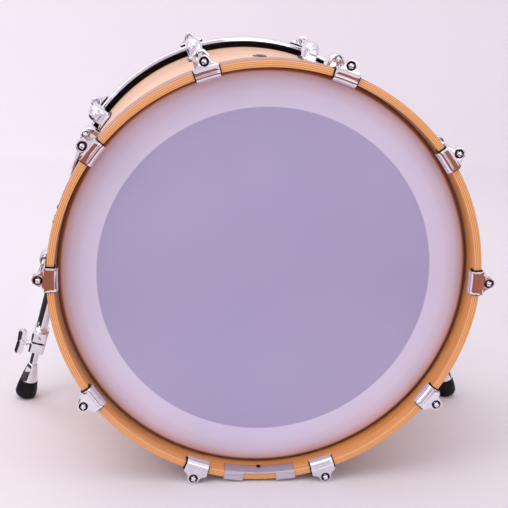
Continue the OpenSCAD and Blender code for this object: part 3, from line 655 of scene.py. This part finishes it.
# %% Lathe pieces round the drum's axis
def ring_piece(name, outline, front=False, n=288, closed=True, smooth=35):
    """An outline of (radius, depth from the hoop's front edge) turned round the drum's axis."""
    way = -1 if front else 1

    def put(x, y, depth):
        return x * way, (depth - HALF_LEN) * way, y + AXIS_H
    return solid(name, turned(outline, put, n, closed), smooth=smooth)


peak = SHELL_R - PEAK_DEPTH
in_r = SHELL_R - WALL
slope = peak - 1 - in_r
y0, y1 = OVERHANG, OVERHANG + 2 * SHELL_HALF
shell = ring_piece("shell_wall", [
    (peak, y0), (peak + 0.4, y0 + 0.3), (SHELL_R - 0.5, y0 + 3.0), (SHELL_R, y0 + 4.0),
    (SHELL_R, HALF_LEN), (SHELL_R, y1 - 4.0), (SHELL_R - 0.5, y1 - 3.0), (peak + 0.4, y1 - 0.3), (peak, y1),
    (peak - 1, y1), (in_r, y1 - slope), (in_r, HALF_LEN), (in_r, y0 + slope), (peak - 1, y0)])
drill = solid("drill", turned([(0, 0), (6.05, 0), (6.05, 30), (0, 30)],
                              lambda x, y, h: (x, y, AXIS_H + in_r - 10 + h), 48, closed=False))
hole = shell.modifiers.new("vent", "BOOLEAN")
hole.operation, hole.solver, hole.object = "DIFFERENCE", "MANIFOLD", drill
baked(shell)
bpy.data.objects.remove(drill)
shell.data.set_sharp_from_angle(angle=math.radians(35))
place(shell, "root", maple, "shell_maple", "shell")
print("shell", len(shell.data.polygons), "faces")

# %% Heads
FLESH_IN, FLESH_OUT = SHELL_R + 2.3, SHELL_R + 9.3
seat = SHELL_R + 3.1
for end, front, stuff, channel, slot_name in (
        ("batter", False, batter_film, aluminium, "flesh_aluminium"),
        ("front", True, plain_film, black_steel, "black_steel")):
    face_y = OVERHANG - 0.4
    steps = [(r, face_y) for r in (0, 60, 120, 180, 225, 250, 268)]
    collar = [(peak - 1.2, face_y), (peak + 0.2, face_y + 0.04), (peak + 0.9, face_y + 0.35),
              (peak + 1.5, face_y + 1.0), (seat + 0.1, HOOP_W - 1.6), (seat + 0.4, HOOP_W - 0.2),
              (seat + 0.4, HOOP_W + 6)]
    under = [(seat, HOOP_W + 6), (seat, HOOP_W - 0.2), (seat - 0.3, HOOP_W - 1.4), (peak + 0.9, OVERHANG + 0.75),
             (peak, OVERHANG), (0, OVERHANG)]
    head = ring_piece(end + "_head_film", steps + collar + under, front, 288, closed=False, smooth=50)
    place(head, "root", stuff, "head_film", end + "_film")
    hoop = ring_piece(end + "_flesh_channel", [
        (FLESH_IN, HOOP_W + 0.8), (FLESH_IN + 0.8, HOOP_W), (seat - 0.1, HOOP_W), (seat - 0.1, HOOP_W + 6.1),
        (seat + 0.5, HOOP_W + 6.1), (seat + 0.5, HOOP_W), (FLESH_OUT - 1.5, HOOP_W), (FLESH_OUT, HOOP_W + 1.5),
        (FLESH_OUT, HOOP_W + 7), (FLESH_OUT - 1, HOOP_W + 8), (FLESH_IN + 0.8, HOOP_W + 8),
        (FLESH_IN, HOOP_W + 7.2)], front)
    place(hoop, "root", channel, slot_name, end + "_flesh_hoop")
muffle = ring_piece("damping_ring", [
    (RING_IN, y0), (RING_IN, y0 + 0.25), (peak - 2, y0 + 0.25), (peak - 2, y0)])
place(muffle, "root", plain_film, "muffle_film", "batter_muffle_ring")
print("two heads, two channels and the damping ring")

# %% [markdown]
# ## Front hoop
# The far hoop is rolled from sheet steel and plated, over a black core. Its front edge is
# turned in with a soft radius, and its back edge with a tight one.

# %% Front hoop
skin = 1.5
outer_wall = [(HOOP_IN, skin), (HOOP_IN, 0.5), (HOOP_IN + 0.5, 0.0)] + arc(HOOP_R - 4, 4, 4, 270, 360, 10)
inner_wall = [(HOOP_R - skin, HOOP_W - skin)] + arc(HOOP_R - 4, 4, 4 - skin, 360, 270, 8)
back_edge = arc(HOOP_R - 2, HOOP_W - 2, 2, 0, 90, 5) + [
    (HOOP_IN + 0.5, HOOP_W), (HOOP_IN, HOOP_W - 0.5), (HOOP_IN, HOOP_W - skin)]
front_skin = ring_piece("front_hoop_skin", outer_wall + back_edge + inner_wall, True)
place(front_skin, "root", chrome, "chrome", "front_hoop")
core = [(HOOP_IN, skin)] + arc(HOOP_R - 4, 4, 4 - skin, 270, 360, 8) + [
    (HOOP_R - skin, HOOP_W - skin), (HOOP_IN, HOOP_W - skin)]
front_core = ring_piece("front_hoop_core_ring", core, True)
place(front_core, "root", black_steel, "black_core", "front_hoop_core")
print("front hoop", len(front_skin.data.polygons), "faces")

# %% [markdown]
# ## Claw hooks
# A claw is a casting: a lip rolled over the hoop's front edge, a crease where it meets a
# flat plate, shoulders that narrow to a round ear, and a skirt that reaches back over the
# hoop. The ear has a recess for the rod's head. One claw is joined exactly from three
# shapes, cut, and given soft edges, and the tree puts ten round each end.

# %% One claw
FACE = -4.0
CLAW_HALF = 16.25
EAR = 8.0
SHOULDER = HOOP_R + 3.5
LIP = HOOP_IN - 5.5


def bent(u, v, t, r=HOOP_R - 4):
    """A point of a side outline (depth u, radius v) at t across, bent round the drum."""
    a = t / r
    return v * math.sin(a), u, v * math.cos(a)


hook = [(12.0, LIP + 0.8), (11.2, LIP)] + arc(FACE + 8, LIP + 8, 8, 270, 186, 9) + [
    (FACE + 0.1, LIP + 8.2), (FACE + 1.3, LIP + 8.8), (FACE + 1.3, LIP + 9.8), (FACE, LIP + 10.4),
    (FACE, SHOULDER - 1.2), (FACE + 1.2, SHOULDER), (13.2, SHOULDER), (14.0, SHOULDER - 0.8), (14.0, SHOULDER - 2.0),
    (-1.5, SHOULDER - 2.0), (-1.5, LIP + 4.0), (12.0, LIP + 4.0)]
across = [-CLAW_HALF + 2 * CLAW_HALF * k / 8 for k in range(9)]
bar = pushed(hook, across, bent)
flank = [(-16.25, SHOULDER - 4), (-16.2, SHOULDER - 1.4), (-15.2, SHOULDER + 0.3), (-12.8, SHOULDER + 1.2),
         (-10.9, SHOULDER + 2.3), (-9.4, SHOULDER + 4.0), (-8.3, SHOULDER + 6.0), (-7.9, ROD_R + 1.0)]
ear_top = arc(0, ROD_R, EAR, 170, 10, 20)
plate = pushed(flank + ear_top + [(-u, v) for u, v in flank[::-1]], [FACE, FACE + 3.4], lambda u, v, t: (u, t, v))


def rod_way(x, y, h):
    """Turned parts on the rod's axis: height becomes depth."""
    return x, h, ROD_R + y


boss = turned([(0, FACE), (EAR - 0.5, FACE), (EAR, FACE + 0.6), (EAR, 7.0), (EAR - 1, 8.0), (0, 8.0)],
              rod_way, closed=False)
recess = turned([(0, FACE - 1), (6.6, FACE - 1), (6.2, FACE + 0.5), (6.2, FACE + 3.4), (3.3, FACE + 3.4),
                 (3.3, 9.0), (0, 9.0)], rod_way, closed=False)
claw = carved("claw", [bar, plate, boss], [recess])
print("one claw:", len(claw.data.polygons), "faces")

# %% Twenty claws with their pads and washers
pad_outline = [(-1.45, HOOP_IN - 1.5), (13, HOOP_IN - 1.5), (13, HOOP_IN), (0, HOOP_IN), (0, HOOP_R),
               (15, HOOP_R), (15, HOOP_R + 1.5), (-0.9, HOOP_R + 1.5), (-1.5, HOOP_R + 0.9), (-1.5, HOOP_IN - 0.9)]
pad = solid("pad", pushed(pad_outline, [-17.85 + 35.7 * k / 8 for k in range(9)], bent))
washer = solid("washer", turned([(3.35, FACE + 2.4), (6.15, FACE + 2.4), (6.15, FACE + 3.4), (3.35, FACE + 3.4)],
                               rod_way, 32))
pads, washers = [], []
for end, front in (("batter", False), ("front", True)):
    made = round_end(claw, end + "_claw_hooks", front, chrome)
    place(made, "root", chrome, "chrome", end + "_claws")
    pads.append(round_end(pad, end + "_claw_pads", front, rubber))
    washers.append(round_end(washer, end + "_rod_washers", front, nylon))
place(pads[0], "root", rubber, "pad_rubber", "claw_pads")
place(pads[1], "root", rubber, "pad_rubber")
place(washers[0], "root", nylon, "nylon", "rod_washers")
place(washers[1], "root", nylon, "nylon")

# %% [markdown]
# ## Tension rods
# Each rod is a long screw with a square key head. The thread is a real helix: a tree makes
# a slim cylinder of many rings and moves its points in and out by their height and their
# angle, one turn for each pitch. Drum rods have about 24 threads to the inch.

# %% Tree: threaded rod
thread_tree, source, result = new_tree("threaded_rod", [
    ("Length", "Float"), ("Radius", "Float"), ("Pitch", "Float"), ("Depth", "Float"), ("Rings", "Int"),
    ("Finish", "Material")])
stick = add(thread_tree, "GeometryNodeMeshCylinder", {"fill_type": "NGON"}, {
    "Vertices": 16, "Side Segments": source.outputs["Rings"], "Radius": source.outputs["Radius"],
    "Depth": source.outputs["Length"]})
spot = add(thread_tree, "GeometryNodeInputPosition")
part = add(thread_tree, "ShaderNodeSeparateXYZ", {}, {0: spot.outputs[0]}).outputs
angle = add(thread_tree, "ShaderNodeMath", {"operation": "ARCTAN2"}, {0: part[1], 1: part[0]})
turns = add(thread_tree, "ShaderNodeMath", {"operation": "DIVIDE"}, {0: part[2], 1: source.outputs["Pitch"]})
phase = add(thread_tree, "ShaderNodeMath", {"operation": "MULTIPLY_ADD"}, {
    0: angle.outputs[0], 1: -1 / math.tau, 2: turns.outputs[0]})
groove = add(thread_tree, "ShaderNodeMath", {"operation": "PINGPONG"}, {0: phase.outputs[0], 1: 0.5})
cut = add(thread_tree, "ShaderNodeMath", {"operation": "MULTIPLY"}, {0: groove.outputs[0], 1: 2.0})
deep = add(thread_tree, "ShaderNodeMath", {"operation": "MULTIPLY"}, {0: cut.outputs[0], 1: source.outputs["Depth"]})
share = add(thread_tree, "ShaderNodeMath", {"operation": "DIVIDE"}, {0: deep.outputs[0], 1: source.outputs["Radius"]})
keep = add(thread_tree, "ShaderNodeMath", {"operation": "SUBTRACT"}, {0: 1.0, 1: share.outputs[0]})
scaled = add(thread_tree, "ShaderNodeCombineXYZ", {}, {
    0: add(thread_tree, "ShaderNodeMath", {"operation": "MULTIPLY"}, {0: part[0], 1: keep.outputs[0]}).outputs[0],
    1: add(thread_tree, "ShaderNodeMath", {"operation": "MULTIPLY"}, {0: part[1], 1: keep.outputs[0]}).outputs[0],
    2: part[2]})
shaped = add(thread_tree, "GeometryNodeSetPosition", {}, {"Geometry": stick.outputs[0], "Position": scaled.outputs[0]})
real = add(thread_tree, "GeometryNodeRealizeInstances", {}, {0: shaped.outputs[0]})
painted = add(thread_tree, "GeometryNodeSetMaterial", {}, {
    "Geometry": real.outputs[0], "Material": source.outputs["Finish"]})
thread_tree.links.new(painted.outputs[0], result.inputs[0])

THREAD_FROM, ROD_END, THREAD_PITCH = 66.0, MOUTH + 24.0, 1.06
thread = put_in_scene("thread", bpy.data.meshes.new("thread"))
length = ROD_END - THREAD_FROM
grown(thread, thread_tree, length=length * MM, radius=ROD_SHANK * MM, pitch=THREAD_PITCH * MM, depth=0.4 * MM,
      rings=int(length / THREAD_PITCH * 4), finish=chrome)
along_rod = Matrix.Translation((0, (THREAD_FROM + length / 2) * MM, ROD_R * MM))
thread.data.transform(along_rod @ Matrix.Rotation(math.pi / 2, 4, "X"))
print("thread:", len(thread.data.polygons), "faces")

# %% One rod, then twenty
HEAD_Y = FACE + 3.4 - 1.0 - 0.15
key = 2.8
shank = turned([(0, HEAD_Y - 1.4), (3.3, HEAD_Y - 1.2), (3.5, HEAD_Y - 0.9), (3.5, HEAD_Y), (ROD_SHANK, HEAD_Y + 0.2),
                (ROD_SHANK, THREAD_FROM - 0.6), (2.5, THREAD_FROM), (0, THREAD_FROM)], rod_way, 24, closed=False)
square = [(-key, -key + 0.5), (-key + 0.5, -key), (key - 0.5, -key), (key, -key + 0.5),
          (key, key - 0.5), (key - 0.5, key), (-key + 0.5, key), (-key, key - 0.5)]
top_y = HEAD_Y - 6.4
tapers = [(HEAD_Y - 1.3, 1.0), (top_y + 0.7, 1.0), (top_y, 0.82)]
key_head = lofted([[(u * s, t, ROD_R + v * s) for u, v in square] for t, s in tapers])
smooth_part = solid("smooth_part", joined(shank, key_head), smooth=30)
work = bmesh.new()
work.from_mesh(smooth_part.data)
work.from_mesh(thread.data)
rod_mesh = bpy.data.meshes.new("rod")
work.to_mesh(rod_mesh)
work.free()
rod_mesh.set_sharp_from_angle(angle=math.radians(50))
rod = put_in_scene("rod", rod_mesh)
for end, front in (("batter", False), ("front", True)):
    for i in range(10):
        name = f"{end}_rod_{i + 1:02d}"
        first = FIRST_CLAW + PITCH * i
        made = round_end(rod, name + "_screw", front, chrome, 1, -first if front else first)
        place(made, name, chrome, "chrome", name)
print("twenty rods of", len(rod_mesh.polygons), "faces")

# %% [markdown]
# ## Lugs
# A lug is a zinc casting bolted through the shell. A domed body holds the swivel nut, its
# mouth opens towards the hoop, and a narrow fin runs back to the far end of the foot. The
# shapes are joined exactly and their edges rounded, which keeps a polished casting's crisp
# reflections. Fusing them in voxels would leave the chrome uneven.

# %% One lug
TOP = ROD_R + 6.8
DOME = 12.0


def along_lug(u, v, t):
    """An outline across the lug (u across, v out) pushed t along it from its mouth."""
    return u, MOUTH + t, v


LUG_FLOOR = SHELL_R + 2


def lug_ring(outline, t, s, across=1.0):
    """An outline at t along the lug, drawn in to a share s of its height and across of its width."""
    return [(u * across, MOUTH + t, LUG_FLOOR + (v - LUG_FLOOR) * s) for u, v in outline]


base = pushed(rounded(7, 6, 46, 6), [SHELL_R + 1.0, SHELL_R + 4.2], lambda u, v, t: (u, MOUTH + v, t))
arch = [(DOME, LUG_FLOOR)] + arc(0, TOP - DOME, DOME, 0, 180, 24) + [(-DOME, LUG_FLOOR)]
sections = [(0.0, 0.94), (1.0, 0.985), (2.6, 1.0), (19.0, 1.0), (23.0, 0.975), (26.0, 0.93), (28.5, 0.86),
            (30.2, 0.76), (31.0, 0.6)]
body = lofted([lug_ring(arch, t, s, min(1, s + 0.03)) for t, s in sections])
FIN = 5.75
fin_top = ROD_R + 2
fin_arch = [(FIN, LUG_FLOOR)] + arc(0, fin_top - FIN, FIN, 0, 180, 12) + [(-FIN, LUG_FLOOR)]
fin_sections = [(12.0, 1.0), (40.0, 1.0), (44.0, 0.97), (46.8, 0.88), (48.4, 0.74), (49.0, 0.55)]
fin = lofted([lug_ring(fin_arch, t, s) for t, s in fin_sections])
pocket = [(5.3, SHELL_R + 10.3)] + arc(0, ROD_R, 5.6, 0, 180, 20) + [(-5.3, SHELL_R + 10.3)]
mouth_cut = pushed(pocket, [-1, 11], along_lug)
nut_cut = turned([(0, MOUTH + 10), (4.8, MOUTH + 10), (4.8, MOUTH + 26), (0, MOUTH + 26)], rod_way, closed=False)
lug = carved("lug", [base, body, fin], [mouth_cut, nut_cut], 0.5)
print("one lug:", len(lug.data.polygons), "faces")

# %% Lugs, gaskets and swivel nuts round both ends
def on_shell(u, v, t):
    """A gasket's outline (u across, v along) laid on the shell at thickness t."""
    a = u / SHELL_R
    return (SHELL_R + t) * math.sin(a), MOUTH + v, (SHELL_R + t) * math.cos(a)


gasket = solid("gasket", pushed(rounded(7, 6, 46, 7), [0.0, 1.45], on_shell))
nut_y = MOUTH + 11
nut = solid("nut", turned([(3.1, nut_y - 3), (4.4, nut_y - 3), (5.2, nut_y - 2.2), (5.2, nut_y), (4.5, nut_y),
                           (4.5, nut_y + 13.5), (4.0, nut_y + 14), (3.1, nut_y + 14)], rod_way, 36))
gaskets, nuts = [], []
for end, front in (("batter", False), ("front", True)):
    made = round_end(lug, end + "_lug_castings", front, chrome)
    place(made, "root", chrome, "chrome", end + "_lugs")
    gaskets.append(round_end(gasket, end + "_lug_gaskets", front, rubber))
    nuts.append(round_end(nut, end + "_swivel_nuts", front, chrome))
place(gaskets[0], "root", rubber, "pad_rubber", "lug_gaskets")
place(gaskets[1], "root", rubber, "pad_rubber")
place(nuts[0], "root", chrome, "zinc_steel", "swivel_nuts")
place(nuts[1], "root", chrome, "zinc_steel")
for spare in (claw, pad, washer, thread, smooth_part, rod, lug, gasket, nut):
    bpy.data.objects.remove(spare)
print("twenty lugs with gaskets and nuts")

# %% [markdown]
# ## Spur legs
# Each leg hangs from a pivot bolt on a cast bracket and leans out and forward. It is a
# chrome tube with a clamp at its lower end, and a rod slides in it down to a cone and a
# rubber foot. The leg is drawn hanging straight down from its pivot, then turned into
# place, and the left leg is the right one in a mirror, with its faces turned back out.

# %% Frames of the legs
PIVOT_R, PIVOT_Y, DROP, LEAN, RAKE = SHELL_R + 36.5, 51.0, 15.0, 14.0, 11.0
CLAMP_S, FERRULE_S, FOOT_S = 93.2126, 158.2126, 189.5126
CLAMP_H, UPPER, SLOT = 37.5, 17.0, 3.6


def leg_frame(left):
    """From the leg's own millimetres (hinge along X, leg down -Z) to the row frame."""
    drop = math.radians(DROP)
    pivot = (PIVOT_R * math.cos(drop), PIVOT_Y, AXIS_H - PIVOT_R * math.sin(drop))
    return (Matrix.Diagonal((-1 if left else 1, 1, 1, 1)) @ Matrix.Translation(pivot)
            @ Matrix.Rotation(math.radians(-LEAN), 4, "Y") @ Matrix.Rotation(math.radians(RAKE), 4, "X"))


def down(x, y, h):
    """Turned parts on the leg: height becomes distance down it."""
    return x, y, -h


def hinge_way(x, y, h):
    """Turned parts on the hinge: height becomes distance out along it."""
    return h, x, y


print("leg pivot", [round(c, 2) for c in leg_frame(False).translation])

# %% Turned leg pieces
knuckle = turned([(5.05, -10), (13.2, -10), (14, -9.2), (14, 9.2), (13.2, 10), (5.05, 10)], hinge_way, 64)
tube = turned([(0, 11), (9.25, 11), (9.25, CLAMP_S + 16.2), (8.9, CLAMP_S + 16.7), (7.65, CLAMP_S + 16.7),
               (7.65, 16), (0, 16)], down, 64, closed=False)
leg_rod = turned([(0, 19), (5.3, 19), (5.9, 19.6), (5.9, FOOT_S - 0.8), (5.5, FOOT_S - 0.31), (4, FOOT_S - 0.3),
                  (4, FOOT_S + 14), (0.6, FOOT_S + 20), (0, FOOT_S + 20)], down, 48, closed=False)
cone = turned([(5.9, 0), (6.9, 0), (7.6, 0.6), (7.9, 2.6), (8.3, 5.6), (9.2, 8.4), (10.4, 12.8), (11.8, 19.4),
               (12.9, 25.4), (13.5, 28.6), (13.8, 30.0), (13.4, 31), (5.9, 31)],
              lambda x, y, h: down(x, y, h + FERRULE_S), 64)
foot_shape = [(4.05, 0), (13.0, 0), (13.8, 0.3), (14.1, 1.0), (14.6, 4.0), (15.6, 9.5), (16.4, 14.5), (16.85, 20.0)]
foot_shape += arc(9, 24, 8, 0, 90, 10) + [(0, 32), (0.001, 21), (1.2, 21), (4.05, 15)]
foot_turned = turned(foot_shape, lambda x, y, h: down(x, y, h + FOOT_S), 64)
for side, left in (("left", True), ("right", False)):
    at = leg_frame(left)
    made = solid(side + "_leg_tube_pipe", joined(knuckle, tube), at)
    place(made, side + "_leg", chrome, "chrome", side + "_leg_tube")
    made = solid(side + "_slide_rod", leg_rod, at)
    place(made, side + "_sliding_rod", chrome, "chrome", side + "_leg_rod")
    made = solid(side + "_cone_ferrule", cone, at)
    place(made, side + "_sliding_rod", chrome, "chrome", side + "_ferrule")
    made = solid(side + "_rubber_foot", foot_turned, at)
    place(made, side + "_foot", rubber, "foot_rubber", side + "_foot")
print("tubes, rods, cones and feet")

# %% Cast clamp and wing screw
block = pushed(rounded(8.75, -10, 10, 3.5), [CLAMP_S, CLAMP_S + CLAMP_H], lambda u, v, t: (u, v, -t))
upper_bore = turned([(0, CLAMP_S - 1), (9.3, CLAMP_S - 1), (9.3, CLAMP_S + UPPER), (0, CLAMP_S + UPPER)],
                    down, 64, closed=False)
lower_bore = turned([(0, CLAMP_S + 16), (5.95, CLAMP_S + 16), (5.95, CLAMP_S + 38.5), (0, CLAMP_S + 38.5)],
                    down, 64, closed=False)
slot = pushed([(-15, -15), (15, -15), (15, 6), (-15, 6)], [CLAMP_S + UPPER, CLAMP_S + UPPER + SLOT],
              lambda u, v, t: (u, v, -t))
peep = turned([(0, -15), (2.0, -15), (2.0, 0), (0, 0)], lambda x, y, h: (x, h, y - CLAMP_S - 8.5), 24, closed=False)
WING_S = CLAMP_S + (UPPER + SLOT + CLAMP_H) / 2
screw_way = turned([(0, 4), (3.1, 4), (3.1, 14), (0, 14)], lambda x, y, h: (h, x, y - WING_S), 32, closed=False)
hub = turned([(0, 6.2), (3, 6.2), (3, 15.3), (5.0, 15.3), (5.2, 16.2), (4.5, 17.6), (4.6, 20), (5.6, 24),
              (5.6, 28), (4.6, 29.2), (0, 29.6)],
             lambda x, y, h: (h, x, y - WING_S), 36, closed=False)
lobes = arc(27, 16, 6.8, -10, 190, 16) + [(20.9, 5), (21.5, 0), (20.9, -5)] + arc(27, -16, 6.8, 170, 370, 16)
lobes += [(33.1, -5), (32.3, 0), (33.1, 5)]
wings = pushed(lobes, [-3.2, 3.2], lambda u, v, t: (u, t, v - WING_S))
clamp_parts = (upper_bore, lower_bore, slot, peep, screw_way)


def hung(made, left):
    """Turns a piece drawn hanging straight down into its leg's place."""
    made.data.transform(Matrix.Scale(MM, 4) @ leg_frame(left) @ Matrix.Scale(1 / MM, 4))
    if left:
        made.data.flip_normals()
    return made


for side, left in (("left", True), ("right", False)):
    clamp = hung(carved(side + "_clamp_block", [block], clamp_parts, 0.5), left)
    place(clamp, side + "_leg", chrome, "chrome", side + "_leg_clamp")
    wing = hung(carved(side + "_wing", [hub, wings], [], 1.4), left)
    place(wing, side + "_wing_screw", chrome, "chrome", side + "_wing_screw")
print("clamps and wing screws")

# %% [markdown]
# ## Brackets and pivot bolts
# The bracket's shape is settled by the shell, the lean of the leg and the stop tab, all of
# which the CAD part already holds. So a merged copy of that node is fused again in small
# voxels and eased, which gives it the soft edges of a polished casting.

# %% Brackets and bolts
def eased_copy(node, name, voxel, rounds, keep):
    """A soft-edged copy of a CAD node."""
    made = put_in_scene(name, frame["nodes"][node].data.copy())
    welded(made.data, 1e-6, outwards=False)
    return softened(made, voxel, rounds, keep)


brackets = eased_copy("spur_brackets", "spur_bracket_castings", 0.8, 4, 0.3)
place(brackets, "root", chrome, "chrome", "spur_brackets")
bolt = [(0, 15.1), (5.6, 15.1), (7.0, 14.6), (8.6, 12.4), (9.0, 11.4), (9.0, 10.3), (5.0, 10.3), (5.0, -37.7),
        (0, -37.7)]
hexagon = turned([(0, 12.2), (3.5, 12.2), (3.5, 16), (0, 16)], hinge_way, 6, closed=False)
bolts = []
for left in (True, False):
    made = solid("pivot_bolt", turned(bolt, hinge_way, 48, closed=False), leg_frame(left))
    tool = solid("hexagon", hexagon, leg_frame(left))
    cut = made.modifiers.new("key", "BOOLEAN")
    cut.operation, cut.solver, cut.object = "DIFFERENCE", "MANIFOLD", tool
    baked(made)
    made.data.set_sharp_from_angle(angle=math.radians(35))
    bpy.data.objects.remove(tool)
    bolts.append(made)
place(bolts[0], "root", chrome, "chrome", "spur_pivot_bolts")
place(bolts[1], "root", chrome, "chrome")
print("brackets", len(brackets.data.polygons), "faces")

# %% [markdown]
# ## Vent and pedal plate
# A flanged eyelet lines the air vent. At the bottom of the batter hoop a sheet-metal
# plate takes the bite of the pedal's clamp: a curved sheet on the inner wall, and at each
# end a tab turned over the front edge and under the hoop.

# %% Vent eyelet
# The eyelet is chrome; its dark metal colour is a painted dark reflection.
eyelet = solid("vent_eyelet", turned(
    [(4.5, -9.5), (6.0, -9.5), (6.0, 0.12), (10.4, 0.12), (10.5, 0.5), (10.1, 1.0), (8.6, 1.6), (6.8, 2.05), (5.9, 2.2),
     (5.2, 2.1), (4.7, 1.7), (4.5, 1.1)], lambda x, y, h: (x, y, AXIS_H + SHELL_R + h), 64), smooth=50)
place(eyelet, "root", dark_reflection_chrome, "chrome", "vent_grommet")
print("eyelet", len(eyelet.data.polygons), "faces")

# %% Pedal plate
PLATE_T = 1.6


def under_hoop(u, v, t):
    """A side outline (depth u, radius v) at t degrees from the bottom."""
    a = math.radians(t)
    return v * math.sin(a), u - HALF_LEN, AXIS_H - v * math.cos(a)


inner = [(-PLATE_T, HOOP_IN - PLATE_T), (22, HOOP_IN - PLATE_T), (22, HOOP_IN - 0.05), (-PLATE_T, HOOP_IN - 0.05)]
sheet = pushed(inner, [-10 + k for k in range(21)], under_hoop)
tabs = []
for start in (-10.0, 4.6):
    span = [start + 5.4 * k / 6 for k in range(7)]
    for v0, v1, u1 in ((HOOP_IN - PLATE_T, HOOP_R + PLATE_T, 0), (HOOP_R + 0.05, HOOP_R + PLATE_T, 14)):
        tabs.append(pushed([(-PLATE_T, v0), (u1, v0), (u1, v1), (-PLATE_T, v1)], span, under_hoop))
plate = softened(solid("pedal_plate_sheet", joined(sheet, *tabs)), 0.45, 2, 0.25)
place(plate, "root", nickel, "plate_steel", "pedal_plate")
screw_at = AXIS_H - HOOP_IN + PLATE_T
head = solid("pedal_plate_fixing", turned(
    [(0, -6), (1.5, -6), (1.5, 0.03), (3.2, 0.03), (3.2, 0.5), (2.6, 1.3), (1.6, 1.6), (1.0, 1.6), (0.9, 0.6),
     (0, 0.5)],
    lambda x, y, h: (x, 18 - HALF_LEN + y, screw_at + h), 32, closed=False))
place(head, "root", black_steel, "zinc_steel", "pedal_plate_screw")
print("plate", len(plate.data.polygons), "faces")

# %% [markdown]
# ## Carried-over CAD nodes
# Screws inside the shell, the brackets' gaskets and the bushes in the tubes have the right
# shape already. They keep their CAD meshes and take a finish.

# %% Finishes for carried-over nodes
for node, finish_used in (("lug_screws", zinc), ("lug_screw_washers", zinc), ("spur_bracket_screws", zinc),
                          ("spur_bracket_gaskets", rubber), ("left_rod_bush", nylon), ("right_rod_bush", nylon)):
    for slot_used in frame["nodes"][node].material_slots:
        slot_used.material = finish_used
shown = [o for o in scene.objects if o.type == "MESH" and not o.hide_render]
print(len(shown), "visible meshes,", sum(len(o.data.polygons) for o in shown), "faces")
